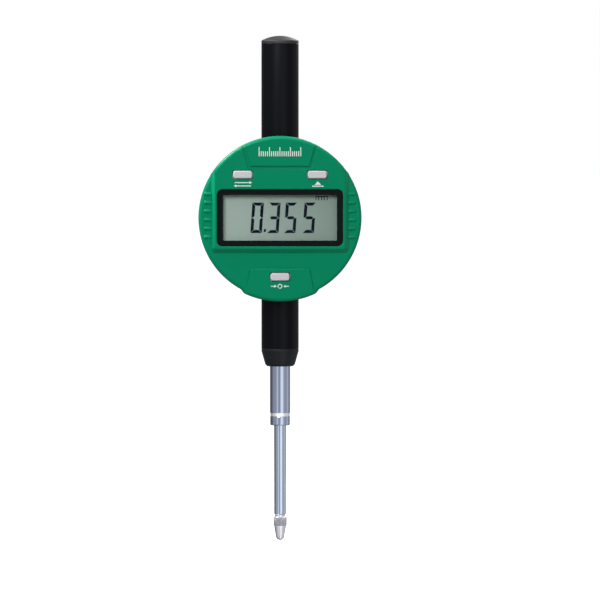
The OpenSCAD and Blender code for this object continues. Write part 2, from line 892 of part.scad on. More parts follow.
module spindle() {
    color(STEEL) difference() {
        union() {
            rod_z(spindle_r, spindle_low_z + neck_taper, spindle_top_z - neck_taper);
            translate([0, 0, spindle_low_z])
                cylinder(r1 = spindle_r - neck_taper, r2 = spindle_r, h = neck_taper);
            translate([0, 0, spindle_top_z - neck_taper])
                cylinder(r1 = spindle_r, r2 = spindle_r - neck_taper, h = neck_taper);
        }
        rod_z(stud_r, spindle_low_z - cut, spindle_low_z + stud_len);
    }
}

// The contact point: a threaded stud, a knurled collar and a cone that holds the ball.
point_low_z = collar_low_z - point_len;
ball_z = point_low_z + ball_d / 2;
module contact_point() {
    shoulder_r = collar_d * 0.44;
    end_r = ball_d / 2 + 0.05;
    shoulder_h = 0.4;
    bevel = 0.3;
    color(STEEL) difference() {
        union() {
            rod_z(stud_r, collar_top_z, spindle_low_z + stud_len);
            rod_z(spindle_r - neck_taper, collar_top_z, spindle_low_z);
            rod_z(collar_d / 2, collar_low_z + bevel, collar_top_z - bevel);
            for (end = [0, 1])
                translate([0, 0, end * (collar_h - bevel) + collar_low_z])
                    cylinder(r1 = collar_d / 2 - (1 - end) * bevel,
                        r2 = collar_d / 2 - end * bevel, h = bevel);
            rod_z(shoulder_r, collar_low_z - shoulder_h, collar_low_z);
            translate([0, 0, ball_z])
                cylinder(r1 = end_r, r2 = shoulder_r, h = collar_low_z - shoulder_h - ball_z);
        }
        translate([0, 0, ball_z]) sphere(r = ball_d / 2);
    }
}

module contact_ball() {
    color("#e4e4e8") translate([0, 0, ball_z]) sphere(r = ball_d / 2);
}

// ---------------------------------------------------------------- carriage and spring

slider_t = 0.8;
slider_half_w = 6.5;
slider_h = carriage_h + 4;
slider_d = split_d - 0.1;
carriage_plate_t = 1.5;
carriage_plate_d = slider_d - slider_t;
carriage_back_y = spindle_r + 1.4;
guide_x = tube_r + guide_gap + guide_d / 2;
guide_y = -1;
guide_clear = 0.06;
guide_low_z = case_cz - sqrt(pow(housing_in_r, 2) - pow(guide_x, 2)) - 0.9;
guide_high_z = case_cz + sqrt(pow(housing_in_r, 2) - pow(guide_x, 2)) + 0.9;

// Solid pads inside the housing's wall that hold the two ends of the guide rod.
module guide_seats() {
    seat = guide_d / 2 + 1.2;
    translate([-guide_x, -guide_y, 0]) {
        rod_z(seat, case_cz - 2 * case_r, guide_low_z + 2);
        rod_z(seat, guide_high_z - 2, case_cz + 2 * case_r);
    }
}

module carriage() {
    arm_reach = guide_x + guide_d / 2 + 1.5;
    arm_inset = 1.5;
    color("#8c9096") difference() {
        union() {
            box_between([-block_half_w, -carriage_plate_d, carriage_z],
                [block_half_w, carriage_back_y, carriage_top_z]);
            box_between([-slider_half_w, -carriage_plate_d, carriage_z],
                [slider_half_w, -carriage_plate_d + carriage_plate_t, carriage_z + slider_h]);
            box_between([-arm_reach, -guide_y - guide_d, carriage_z + arm_inset],
                [0, -guide_y + guide_d, carriage_top_z - arm_inset]);
        }
        rod_z(spindle_r, carriage_z - cut, carriage_top_z + cut);
        translate([-guide_x, -guide_y, 0]) rod_z(guide_d / 2 + guide_clear, carriage_z, carriage_top_z);
        translate([0, 0, carriage_z + carriage_h / 2]) rod_d(screw_hole_r, -carriage_back_y - cut, 0);
    }
}

// The set screw that clamps the carriage to the spindle.
screw_hole_r = 1;
module carriage_screw() {
    color(STEEL) translate([0, 0, carriage_z + carriage_h / 2]) difference() {
        intersection() {
            rod_d(screw_hole_r, -carriage_back_y, 0);
            difference() {
                box_between([-2, 0, -2], [2, carriage_back_y, 2]);
                rod_z(spindle_r, -3, 3);
            }
        }
        translate([0, carriage_back_y + cut, 0]) rotate([90, 0, 0])
            cylinder(r = screw_hole_r / 2, h = cut + 0.7, $fn = 6);
    }
}

module slider_plate() {
    color("#3f6f55")
        box_between([-slider_half_w, -slider_d, carriage_z],
            [slider_half_w, -carriage_plate_d, carriage_z + slider_h]);
}

module guide_rod() {
    color(STEEL) translate([-guide_x, -guide_y, 0]) rod_z(guide_d / 2, guide_low_z, guide_high_z);
}

// The return spring: a wire swept along a helix, with a closed turn at each end.
spring_r = bush_nose_r + 0.25 + wire_d / 2;
spring_out_r = spring_r + wire_d / 2;
module return_spring() {
    per_turn = 14;
    sides = 6;
    low_z = carriage_top_z + wire_d / 2;
    high_z = upper_tube_z - wire_d / 2;
    steps = spring_turns * per_turn;
    closed_pitch = 1.15 * wire_d;
    open_turns = spring_turns - 2;
    open_pitch = (high_z - low_z - 2 * closed_pitch) / open_turns;
    function rise(k) = low_z + closed_pitch * (min(k, 1) + max(k - 1 - open_turns, 0))
        + open_pitch * min(max(k - 1, 0), open_turns);
    points = [
        for (i = [0 : steps], j = [0 : sides - 1])
            let (a = 360 * i / per_turn, b = 360 * j / sides, r = spring_r + wire_d / 2 * cos(b))
                [r * cos(a), r * sin(a), rise(i / per_turn) + wire_d / 2 * sin(b)]
    ];
    walls = [
        for (i = [0 : steps - 1], j = [0 : sides - 1])
            let (k = (j + 1) % sides)
                [i * sides + j, (i + 1) * sides + j, (i + 1) * sides + k, i * sides + k]
    ];
    ends = [[for (j = [0 : sides - 1]) j], [for (j = [0 : sides - 1]) (steps + 1) * sides - 1 - j]];
    color("#9aa0a8") polyhedron(points, concat(walls, ends), convexity = 10);
}

front_cover();
rear_housing();
back_cover();
case_gasket();
case_screws();
display_bezel();
display_window();
lcd_panel();
lcd_reflector();
lcd_frame();
lcd_connectors();
units_button();
origin_button();
zero_button();
tact_switches();
main_board();
board_screws();
processor_chip();
crystal_can();
battery_holder();
battery_cell();
battery_contact_plus();
battery_contact_minus();
battery_cover();
battery_cover_seal();
upper_tube();
tube_cap();
lower_tube();
nose_cone();
stem();
stem_end_ring();
wiper_seal();
lower_bush();
middle_bush();
upper_bush();
stop_buffer();
spindle();
contact_point();
contact_ball();
carriage();
carriage_screw();
slider_plate();
guide_rod();
return_spring();
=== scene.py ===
# %% [markdown]
# # A digital dial indicator
#
# The object is a plunger gauge: a round green case with a liquid crystal display hangs on a steel
# stem, and a sprung spindle with a small ball at its tip slides through all of it. This script dresses
# the imported CAD frame. The frame decides where everything is and how big it is. What is made here is
# what the eye wants and the CAD model leaves out: soft edges, knurling, print and surface finishes.
#
# The first step loads the frame.

# %% Load the frame
import json
import math
from math import cos, pi, radians, sin, sqrt, tan

import bmesh
import bpy
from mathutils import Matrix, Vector
from mathutils.geometry import delaunay_2d_cdt


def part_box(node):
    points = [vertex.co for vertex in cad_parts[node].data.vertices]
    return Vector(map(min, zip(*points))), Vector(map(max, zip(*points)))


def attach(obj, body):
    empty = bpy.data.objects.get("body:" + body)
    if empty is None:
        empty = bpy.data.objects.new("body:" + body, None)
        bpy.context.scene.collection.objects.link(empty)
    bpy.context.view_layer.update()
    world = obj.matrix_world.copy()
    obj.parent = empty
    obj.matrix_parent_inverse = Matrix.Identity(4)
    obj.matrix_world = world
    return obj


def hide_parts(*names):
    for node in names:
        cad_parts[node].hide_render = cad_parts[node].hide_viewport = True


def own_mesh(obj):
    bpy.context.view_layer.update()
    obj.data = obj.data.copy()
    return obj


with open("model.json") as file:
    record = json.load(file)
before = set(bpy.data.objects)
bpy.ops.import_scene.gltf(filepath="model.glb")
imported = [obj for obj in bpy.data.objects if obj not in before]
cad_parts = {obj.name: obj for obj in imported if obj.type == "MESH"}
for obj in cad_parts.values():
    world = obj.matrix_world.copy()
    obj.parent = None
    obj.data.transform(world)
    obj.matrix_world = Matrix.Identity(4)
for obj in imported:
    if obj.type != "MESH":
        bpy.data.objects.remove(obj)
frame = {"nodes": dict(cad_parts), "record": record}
NODES = frame["nodes"]
SLOT_OF = {part["node"]: part["material_slot"] for part in frame["record"]["subparts"]}
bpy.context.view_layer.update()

# %% [markdown]
# ## Sizes
#
# Lengths in this script are millimetres, because that is how a gauge is drawn, and they become metres
# at the last moment, when a mesh is made. Each CAD node gives its lowest and highest corner, and the
# few sizes below are read from those corners. A depth is counted forwards from the spindle's axis, so
# depth d lies at y = -d. Across the face, x is to the right and h is up from the case's centre.

# %% Sizes read from the frame
MM = 0.001


def span(node):
    """The lowest and highest corner of a CAD node, in millimetres."""
    low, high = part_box(node)
    return [v / MM for v in low], [v / MM for v in high]


def radius(node):
    """Half the width of a turned CAD node."""
    low, high = span(node)
    return (high[0] - low[0]) / 2


def heights(node):
    """The lowest and highest z of a CAD node."""
    low, high = span(node)
    return low[2], high[2]


board_low, board_high = span("main_board")
CENTRE_Z = (board_low[2] + board_high[2]) / 2
CASE_R = radius("front_cover")
SPLIT_D = -span("front_cover")[1][1]
PAD_D = -span("front_cover")[0][1]
LUG_R = CENTRE_Z - heights("front_cover")[0]
PAD_STEP = 1.7
PANEL_STEP = 0.9
FLOOR_D = PAD_D - PAD_STEP
PANEL_D = FLOOR_D + PANEL_STEP
bezel_low, bezel_high = span("display_bezel")
BEZEL_D = -bezel_low[1]
window_low, window_high = span("display_window")
LCD_D = -span("lcd_panel")[0][1]
print("case radius", round(CASE_R, 2), "pad depth", round(PAD_D, 2), "centre height", round(CENTRE_Z, 2))

# %% [markdown]
# ## Outlines with rounded edges
#
# Nearly every visible moulding here is a plate: an outline seen from the front, a flat face, and
# walls that go back from it. A boolean of sharp blocks with a Bevel modifier could make them, but a
# bevel fails where two blocks meet at a shallow angle, as the pad and the rim do. So a plate is built
# from loops: the outline is repeated at a few depths, each time moved outwards by as much as the
# rounded edge has run out there. Every stretch of an outline may have its own edge.
#
# The corner rule is the one a draughtsman uses. Each side is moved out by its own distance, and the
# new corner is where the two moved sides cross.

# %% Edge shapes and loops
# Each edge: radius of its rounding, and how far its wall leans from upright, in degrees.
EDGES = {
    "rim": (1.4, 0),
    "slope": (0.3, 45),
    "step": (0.6, 18),
    "lip": (0.27, 0),
    "crisp": (0.12, 0),
    "key": (0.45, 0),
    "hidden": (0.1, 0),
}
ROUND_STEPS = 5
FACE_MARGIN = 0.04
LEAST_STEP = 0.004
NEARLY_STRAIGHT = 0.02
print("edge kinds:", ", ".join(EDGES))


def edge_reach(below, kind):
    """How far outside the sharp outline a wall is, that far below the face. Negative is inside."""
    rounding, lean = EDGES[kind]
    bend = radians(90 - lean)
    drop = rounding * (1 - cos(bend))
    start = -rounding * tan(bend / 2)
    if below < drop:
        return start + sqrt(rounding**2 - (rounding - below) ** 2)
    return start + rounding * sin(bend) + (below - drop) * tan(radians(lean))


def edge_levels(kinds, depth):
    """The distances below the face at which loops are needed, down to depth."""
    levels = {0.0, depth}
    for kind in kinds:
        rounding, lean = EDGES[kind]
        for k in range(1, ROUND_STEPS + 1):
            levels.add(rounding * (1 - cos(radians(90 - lean) * k / ROUND_STEPS)))
    levels = sorted(v for v in levels if v <= depth)
    apart = [v for i, v in enumerate(levels) if i == 0 or v - levels[i - 1] > LEAST_STEP]
    return apart if apart[-1] == depth else apart[:-1] + [depth]


def moved_out(points, reach):
    """A closed outline, anticlockwise, with side i moved out by reach[i]."""
    moved = []
    for i, here in enumerate(points):
        before, after = Vector(points[i - 1]), Vector(points[(i + 1) % len(points)])
        here = Vector(here)
        side_in, side_out = (here - before).normalized(), (after - here).normalized()
        out_in, out_out = Vector((side_in.y, -side_in.x)), Vector((side_out.y, -side_out.x))
        a, b = reach[i - 1], reach[i]
        det = out_in.x * out_out.y - out_in.y * out_out.x
        if abs(det) < NEARLY_STRAIGHT:
            moved.append(here + (out_in * a + out_out * b) / 2)
        else:
            corner = Vector((a * out_out.y - b * out_in.y, b * out_in.x - a * out_out.x)) / det
            moved.append(here + corner)
    return moved


def arc(centre, r, start, end, steps=12):
    """Points on an arc, from start to end in degrees, without the last one."""
    turn = radians(end - start) / steps
    return [
        (centre[0] + r * cos(radians(start) + k * turn), centre[1] + r * sin(radians(start) + k * turn))
        for k in range(steps)
    ]


def rounded_corners(corners, steps=6):
    """An outline through (x, h, corner radius) points, anticlockwise, with its corners rounded."""
    points = []
    for i, (x, h, r) in enumerate(corners):
        here = Vector((x, h))
        to_before = (Vector(corners[i - 1][:2]) - here).normalized()
        to_after = (Vector(corners[(i + 1) % len(corners)][:2]) - here).normalized()
        if r == 0:
            points.append((x, h))
            continue
        half = to_before.angle(to_after) / 2
        cut = r / tan(half)
        middle = here + (to_before + to_after).normalized() * (r / sin(half))
        first, last = here + to_before * cut - middle, here + to_after * cut - middle
        turn = first.angle_signed(last)
        start = math.atan2(first.y, first.x)
        for k in range(steps + 1):
            a = start - turn * k / steps
            points.append((middle.x + r * cos(a), middle.y + r * sin(a)))
    return points


def rectangle(w, h, r, x=0, y=0):
    """A rounded rectangle's outline, w by h, centred at x, y."""
    a, b = w / 2, h / 2
    return rounded_corners([(x - a, y - b, r), (x + a, y - b, r), (x + a, y + b, r), (x - a, y + b, r)])


# %% [markdown]
# ## From loops to a mesh
#
# `Shape` gathers vertices and faces, and its methods do the three things that a plate needs: add a
# loop, join two loops with a wall, and fill the space between an outline and its holes. `plate` then
# reads like a recipe. Just inside each rounded edge it lays one more loop on the flat face. That
# narrow strip keeps the face's own normals straight, so that light runs evenly over it.

# %% Plates
WELD = 0.0005
SHARP_FROM = 35


def crosses(spot, a, b):
    """Whether a level line from spot to the right crosses the side from a to b."""
    if (a.y > spot.y) == (b.y > spot.y):
        return False
    return a.x + (spot.y - a.y) / (b.y - a.y) * (b.x - a.x) > spot.x


class Shape:
    """Vertices in millimetres, as (x, depth, z), and faces."""

    def __init__(self):
        self.points, self.faces = [], []

    def loop(self, outline, depth):
        """Adds an outline at a depth and returns its vertex numbers."""
        first = len(self.points)
        self.points += [(x, -depth, CENTRE_Z + h) for x, h in outline]
        return list(range(first, len(self.points)))

    def wall(self, one, other):
        """Joins two loops of the same length."""
        for i, a in enumerate(one):
            j = (i + 1) % len(one)
            self.faces.append((a, one[j], other[j], other[i]))

    def fill(self, outer, holes=()):
        """Fills the flat space inside one loop and outside the others with triangles."""
        order, sides = [], []
        for each in (outer, *holes):
            first = len(order)
            order += each
            sides += [(first + i, first + (i + 1) % len(each)) for i in range(len(each))]
        flat = [Vector((self.points[v][0], self.points[v][2])) for v in order]
        spots, _, triangles, origins, _, _ = delaunay_2d_cdt(flat, sides, [], 1, 1e-6)
        for triangle in triangles:
            middle = sum((spots[v] for v in triangle), Vector((0, 0))) / 3
            crossed = sum(crosses(middle, flat[a], flat[b]) for a, b in sides)
            if crossed % 2:
                self.faces.append(tuple(order[origins[v][0]] for v in triangle))


def plate(shape, outer, face_d, back_d, holes=(), hollow=None, rim_r=None):
    """Adds a plate to a shape. outer is (outline, kinds) or (outline, kind), and so is each hole.
    hollow is (inner outline, ceiling depth) for a cover that is open at the back. rim_r is the
    radius of the case's rim, past which a moved corner is drawn back."""

    def walls(outline, kinds, end_d, is_hole):
        kinds = [kinds] * len(outline) if isinstance(kinds, str) else kinds
        sign = -1 if is_hole else 1
        margin = [sign * (edge_reach(0, kind) - FACE_MARGIN) for kind in kinds]
        rim = shape.loop(moved_out(outline, margin), face_d)
        last = rim
        for below in edge_levels(sorted(set(kinds)), face_d - end_d):
            reach = [sign * edge_reach(below, kind) for kind in kinds]
            moved = moved_out(outline, reach)
            if rim_r and not is_hole:
                limit = rim_r + edge_reach(below, "rim")
                moved = [p * min(1, limit / p.length) for p in moved]
            ring = shape.loop(moved, face_d - below)
            shape.wall(last, ring)
            last = ring
        return rim, last

    floor_d = hollow[1] if hollow else back_d
    front, back = walls(*outer, back_d, False)
    hole_loops = [walls(*hole, floor_d, True) for hole in holes]
    shape.fill(front, [a for a, b in hole_loops])
    if hollow:
        mouth, ceiling = shape.loop(hollow[0], back_d), shape.loop(hollow[0], floor_d)
        shape.fill(back, [mouth])
        shape.wall(mouth, ceiling)
        back = ceiling
    shape.fill(back, [b for a, b in hole_loops])


def make_piece(name, shape, material, body, replaces=()):
    """Makes a mesh object from a shape, faces outwards, and lets it ride on a body."""
    mesh = bpy.data.meshes.new(name)
    mesh.from_pydata([Vector(p) * MM for p in shape.points], [], shape.faces)
    return finish_piece(name, mesh, material, body, replaces)


def finish_piece(name, mesh, material, body, replaces=()):
    """Cleans a mesh, gives it its finish and its body, and prints how big it is."""
    tidy = bmesh.new()
    tidy.from_mesh(mesh)
    bmesh.ops.remove_doubles(tidy, verts=tidy.verts, dist=WELD * MM)
    bmesh.ops.dissolve_degenerate(tidy, edges=tidy.edges, dist=WELD * MM)
    bmesh.ops.recalc_face_normals(tidy, faces=tidy.faces)
    tidy.to_mesh(mesh)
    tidy.free()
    mesh.shade_smooth()
    mesh.set_sharp_from_angle(angle=radians(SHARP_FROM))
    mesh.materials.clear()
    mesh.materials.append(material)
    piece = bpy.data.objects.new(name, mesh)
    bpy.context.scene.collection.objects.link(piece)
    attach(piece, body)
    if replaces:
        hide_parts(*replaces)
    print(f"{name}: {len(mesh.polygons)} faces on {body}")
    return piece


print("points closer than", WELD, "mm are welded, and edges over", SHARP_FROM, "degrees stay sharp")

# %% [markdown]
# ## Materials
#
# A finish is more than a colour. Moulded plastic carries the fine pitting of its spark-eroded mould,
# a turned tube has faint rings where the tool passed, and ground steel has fine lines round it. Each
# of those is a procedural pattern on Object coordinates, so its scale is a real size in millimetres.
#
# They are all one recipe with other numbers. The colour drifts between two close tones in broad
# patches. A grain sways the roughness and makes a shallow relief. For a turned surface the grain is
# stretched across two axes, which turns its spots into rings round the third.

# %% One recipe for a finish
PATCH_MM = 12
EVEN = (1, 1, 1)
RINGS_ROUND_Z = (0.02, 0.02, 1)
RINGS_ROUND_Y = (0.02, 1, 0.02)


def linear(hex_colour):
    """An sRGB hex colour as linear RGBA."""
    parts = [int(hex_colour[i : i + 2], 16) / 255 for i in (1, 3, 5)]
    return [v / 12.92 if v <= 0.04045 else ((v + 0.055) / 1.055) ** 2.4 for v in parts] + [1.0]


def add(tree, kind, links=None, **settings):
    """Adds a node. links maps an input's name or number to a value or to another node's output."""
    node = tree.nodes.new(kind)
    for key, value in settings.items():
        setattr(node, key, value)
    for key, value in (links or {}).items():
        if isinstance(value, bpy.types.NodeSocket):
            tree.links.new(value, node.inputs[key])
        else:
            node.inputs[key].default_value = value
    return node


def finish(name, colour, other, roughness, grain_mm, relief_mm, stretch=EVEN, sway=0.2, **sockets):
    """A procedural finish. sway is the share by which the grain changes the roughness."""
    material = bpy.data.materials.new(name)
    material.use_nodes = True
    material.diffuse_color = linear(colour)
    tree = material.node_tree
    shader = tree.nodes["Principled BSDF"]
    for key, value in sockets.items():
        shader.inputs[key.replace("_", " ")].default_value = value
    place = add(tree, "ShaderNodeTexCoord").outputs["Object"]
    patches = add(tree, "ShaderNodeTexNoise",
                  {"Vector": place, "Scale": 1 / (PATCH_MM * MM), "Detail": 3.0})
    tones = add(tree, "ShaderNodeMix", {0: patches.outputs["Fac"], 6: linear(colour), 7: linear(other)},
                data_type="RGBA")
    along = add(tree, "ShaderNodeMapping", {"Vector": place, "Scale": stretch})
    grain = add(tree, "ShaderNodeTexNoise",
                {"Vector": along.outputs[0], "Scale": 1 / (grain_mm * MM), "Detail": 2.0})
    rough = add(tree, "ShaderNodeMapRange",
                {0: grain.outputs["Fac"], 3: roughness * (1 - sway), 4: roughness * (1 + sway)})
    bump = add(tree, "ShaderNodeBump", {"Height": grain.outputs["Fac"], "Distance": relief_mm * MM})
    tree.links.new(tones.outputs[2], shader.inputs["Base Color"])
    tree.links.new(rough.outputs[0], shader.inputs["Roughness"])
    tree.links.new(bump.outputs["Normal"], shader.inputs["Normal"])
    return material


print("patches of colour are", PATCH_MM, "mm across")

# %% [markdown]
# ### Plastics and rubber
#
# The front cover is satin ABS in a saturated bluish green. It is smooth enough to show soft
# highlights on its rounded edges, and its grain only takes the mirror away. The rear half is glass
# filled nylon with a coarser and duller texture, as such halves have, because it hides fingerprints.
# Real mould pitting is about 0.05 mm across, which is too fine to show here, so the grain is drawn
# five times as coarse.

# %% Plastics and rubber
FINISHES = {
    # Satin green: soft highlights, deep colour.
    "green_abs": finish("satin_green_abs", "#00885f", "#00835b", 0.3, 0.25, 0.0012,
                        Specular_IOR_Level=0.28, Specular_Tint=linear("#80dcb8")),
    # Dull black with a visible texture.
    "black_moulding": finish("black_glass_filled_nylon", "#151617", "#1b1c1d", 0.52, 0.35, 0.006),
    # Rubber has no gloss at all: it reads as the darkest, softest black.
    "black_rubber": finish("black_nitrile_rubber", "#161617", "#1c1c1d", 0.75, 0.5, 0.004),
    # A polished frame: nearly black, with clean reflections along its edges.
    "bezel_gloss": finish("black_polished_acrylic", "#030808", "#050b0b", 0.2, 2.0, 0.0003,
                          Specular_IOR_Level=0.1),
    # Pale keys with a soft sheen.
    "button_plastic": finish("pale_grey_key_abs", "#ccd0d2", "#c6cbce", 0.42, 0.3, 0.002),
    # The cap is moulded, so it is a shade smoother than the tube under it.
    "cap_plastic": finish("black_satin_cap_abs", "#17171a", "#1b1b1f", 0.5, 0.6, 0.002),
    # Inside the case: natural nylon, silicone, and dull engineering plastics.
    "white_nylon": finish("natural_nylon", "#dfe0da", "#e8e8e2", 0.5, 0.4, 0.003),
    "pink_silicone": finish("pink_silicone_rubber", "#cf6f89", "#d87f96", 0.6, 0.4, 0.002),
    "switch_plastic": finish("black_switch_nylon", "#2d2d2f", "#353537", 0.55, 0.4, 0.003),
    "chip_epoxy": finish("chip_epoxy", "#1d1d1f", "#242426", 0.6, 0.15, 0.003),
    "inner_moulding": finish("black_inner_abs", "#27272a", "#2f2f32", 0.5, 0.4, 0.004),
    # Solder mask over glass cloth: a green gloss with the weave just showing through.
    "board_laminate": finish("solder_mask_on_glass_cloth", "#0d5138", "#126046", 0.3, 0.6, 0.003),
}
print("plastics:", len(FINISHES))

# %% [markdown]
# ### Metals
#
# The tubes are aluminium, turned and then anodised black. The dye sits in a clear oxide layer, so the
# surface behaves like a dark plastic with a fairly tight sheen, not like bare metal, and it keeps the
# faint rings of the lathe. The stem and the spindle are hardened steel, ground round: bare metal, a
# cool grey, with lines so fine that they only spread the reflection along the bar. The spindle is
# polished further, because it has to slide. Grinding lines are a few thousandths of a millimetre
# apart, so all these rings are drawn coarser than they are.

# %% Metals
FINISHES.update({
    # Black with a tight vertical sheen.
    "black_anodised": finish("black_anodised_tube", "#040509", "#06070c", 0.36, 0.12, 0.0015, RINGS_ROUND_Z,
                             Specular_IOR_Level=0.09),
    # Painted light: the nose is a little greyer, for the light that a white table throws up onto it.
    "nose_anodised": finish("black_anodised_nose_painted_underlight", "#0f1315", "#131719", 0.4, 0.15, 0.003,
                            Specular_IOR_Level=0.2),
    # Bright bands that run the length of the bar, softened by grinding.
    "stem_steel": finish("ground_stem_steel", "#aab4c9", "#a2acc1", 0.13, 0.05, 0.0006, RINGS_ROUND_Z,
                         Metallic=1.0),
    # The same bands, but crisper.
    "spindle_steel": finish("polished_spindle_steel", "#bac5d7", "#b2bdcf", 0.12, 0.04, 0.0004,
                            RINGS_ROUND_Z, Metallic=1.0),
    # Painted highlight: the groove's skin is coloured near white, for the bright ring that its edges catch.
    "turned_steel": finish("groove_steel_painted_highlight", "#eef0f4", "#e4e6ea", 0.45, 0.08, 0.001, RINGS_ROUND_Z,
                           Metallic=1.0),
    # Nickel plate over steel: paler, softer.
    "point_steel": finish("nickel_plated_point", "#e2e3e8", "#d9dadf", 0.34, 0.08, 0.001, RINGS_ROUND_Z,
                          Metallic=1.0),
    # The same plate on the knurl, painted darker as shade, because the ridges shade each other.
    "knurl": finish("nickel_plated_knurl_painted_shade", "#9b9ca2", "#8f9096", 0.42, 0.08, 0.002, RINGS_ROUND_Z,
                    Metallic=1.0),
    "ball_carbide": finish("polished_carbide", "#dcdce4", "#d2d3dc", 0.12, 0.2, 0.0002, Metallic=1.0),
    # Zinc plate: a slightly blue, slightly cloudy steel.
    "screw_steel": finish("zinc_plated_steel", "#a3a7ac", "#94989e", 0.34, 0.2, 0.002, RINGS_ROUND_Y,
                          Metallic=1.0),
    # Inside the case: sintered bronze is porous and warm, cast zinc is dull, and sheet parts are bright.
    "bush_bronze": finish("sintered_bronze", "#a97c48", "#96703f", 0.42, 0.3, 0.004, Metallic=1.0),
    "cell_steel": finish("nickel_plated_can", "#c4c6ca", "#b8babf", 0.3, 0.3, 0.001, RINGS_ROUND_Y,
                         Metallic=1.0),
    "tinned_can": finish("tinned_can", "#b4b6ba", "#a9abb0", 0.36, 0.4, 0.002, Metallic=1.0),
    "contact_brass": finish("plated_spring_brass", "#c9b06a", "#bda35d", 0.32, 0.2, 0.001, Metallic=1.0),
    "carriage_zinc": finish("cast_zinc", "#8c9096", "#7f838a", 0.5, 0.6, 0.01, Metallic=1.0),
    "reflector_film": finish("matt_reflector_film", "#c9cecb", "#c0c6c2", 0.55, 0.5, 0.001, Metallic=1.0),
    "spring_wire": finish("drawn_spring_wire", "#9aa0a8", "#8c929b", 0.3, 0.1, 0.001, Metallic=1.0),
})
print("finishes so far:", len(FINISHES))

# %% [markdown]
# ### Display, window and print
#
# A reflective liquid crystal panel is a grey-green sheet with no gloss of its own. The light that it
# sends back falls off towards one side, and that falloff is painted into its colour as painted shade,
# pale at the left and darker at the right. The window is clear acrylic, 0.9 mm thick. A refracting
# shader would be right for a lens, but in a thin flat pane it only costs light, so the pane is a faint,
# glossy film: mostly transparent, with its reflection kept. The ink of the digits and of the marks on
# the case is flat colour with a slight tooth.

# %% Display, window and print
FINISHES["lcd_glass"] = finish("reflective_lcd_glass", "#94a89e", "#8fa399", 0.5, 0.3, 0.0005,
                                Specular_IOR_Level=0.1)
FINISHES["clear_window"] = finish("clear_acrylic_pane", "#05080a", "#06090b", 0.05, 3.0, 0.0001, Alpha=0.05)
LCD_INK = finish("lcd_dark_segment", "#02101f", "#041524", 0.7, 0.3, 0.0005, Specular_IOR_Level=0.05)
WHITE_PRINT = finish("white_pad_print", "#eef3f0", "#e4ebe7", 0.5, 0.2, 0.001)

# Painted shade: across the panel the colour runs from pale at the left to darker at the right, for the
# light that falls off towards that side.
lcd_tree = FINISHES["lcd_glass"].node_tree
lcd_place = add(lcd_tree, "ShaderNodeTexCoord")
lcd_across = add(lcd_tree, "ShaderNodeSeparateXYZ", {0: lcd_place.outputs["Object"]})
lcd_painted_falloff = add(lcd_tree, "ShaderNodeMapRange", {0: lcd_across.outputs["X"], 1: -22 * MM, 2: 22 * MM})
lcd_painted_shade = add(lcd_tree, "ShaderNodeMix",
               {0: lcd_painted_falloff.outputs[0], 6: linear("#b4c9be"), 7: linear("#93a99f")}, data_type="RGBA")
lcd_tree.links.new(lcd_painted_shade.outputs[2], lcd_tree.nodes["Principled BSDF"].inputs["Base Color"])
print("finishes:", len(FINISHES) + 2)

# %% [markdown]
# Every CAD node is given its finish here. A node whose shape is already right keeps its own mesh, and
# the others are replaced further on.

# %% Give each CAD node its finish
for node, piece in NODES.items():
    piece.data.materials.clear()
    piece.data.materials.append(FINISHES[SLOT_OF[node]])
print("CAD nodes with a finish:", len(NODES))

# %% [markdown]
# ## The front cover
#
# One green moulding, which is read here as five plates on top of each other: the disc with its lug
# below, the raised pad across the top, the sunk line that sets off the upper panel, that panel, and
# the low panel round the bottom key. The disc is hollow behind. All of them share the same rounded
# rim, so the rim runs from one to the next without a seam.

# %% Outlines of the cover
LUG_HALF_W = 14.2
LUG_ROOT = (15.5, -28.2)
LUG_ROUND = 1.8
PAD_HALF_W = 25.6
PAD_FOOT = -12.3
PANEL_TOP = (11.6, -20.0)
PANEL_FOOT_X = 13.5
GROOVE_W = 1.0
GROOVE_DEEP = 0.6
GROOVE_FOOT = (12.0, 19.9)
GROOVE_HEAD_X = 14.5
INNER_R = 30.0
CEILING_D = 12.4
UNDER_D = FLOOR_D - 0.05


def angle_at(r, x, below=False):
    """The angle, in degrees, of the point on a circle r at sideways place x."""
    a = math.degrees(math.acos(x / r))
    return -a if below else a


def case_outline():
    """The disc with its lug, anticlockwise from the lug's right corner."""
    corner = angle_at(LUG_R, LUG_HALF_W, below=True)
    root = math.degrees(math.atan2(LUG_ROOT[1], LUG_ROOT[0]))
    lug = arc((0, 0), LUG_R, -180 - corner, corner, 40)
    disc = arc((0, 0), CASE_R, root, -180 - root + 360, 200)
    before, after = lug[-1], disc[1]
    corner_h = LUG_R * sin(radians(corner))
    soft = rounded_corners([(*before, 0), (LUG_HALF_W, corner_h, LUG_ROUND), (*LUG_ROOT, LUG_ROUND),
                            (*after, 0)])
    right = soft[1:-1]
    left = [(-x, h) for x, h in right[::-1]]
    return lug[1:] + right + disc[1:] + left


def top_arc(x_right, x_left, steps):
    """The case's rim from x_right over the top to x_left."""
    return arc((0, 0), CASE_R, angle_at(CASE_R, x_right), angle_at(CASE_R, x_left), steps)


def groove_side(shift):
    """Foot and head of the groove's right side, moved sideways by shift and put on the rim."""
    foot_x, foot_h = GROOVE_FOOT[0] + shift, GROOVE_FOOT[1] - shift
    head_x = GROOVE_HEAD_X + shift
    return (foot_x, foot_h), (head_x, sqrt(CASE_R**2 - head_x**2))


print("cover outline:", len(case_outline()), "points")

# %% The pad and its panels
BEZEL_HOLE = rectangle(49.7, 22.5, 2.2)
BEZEL_POCKET = rectangle(50.6, 23.3, 2.4)
KEY_HOLE = (8.3, 3.8, 1.3)
KEY_POCKET = (10.5, 6.0, 0.9)
KEY_FACE = (7.5, 3.0, 0.9)
KEYS = {"units": (-14.7, 17.0), "origin": (14.7, 17.0), "zero": (0.0, -23.3)}


def key_hole(key):
    """The outline of a key's hole."""
    return rectangle(*KEY_HOLE, *KEYS[key])


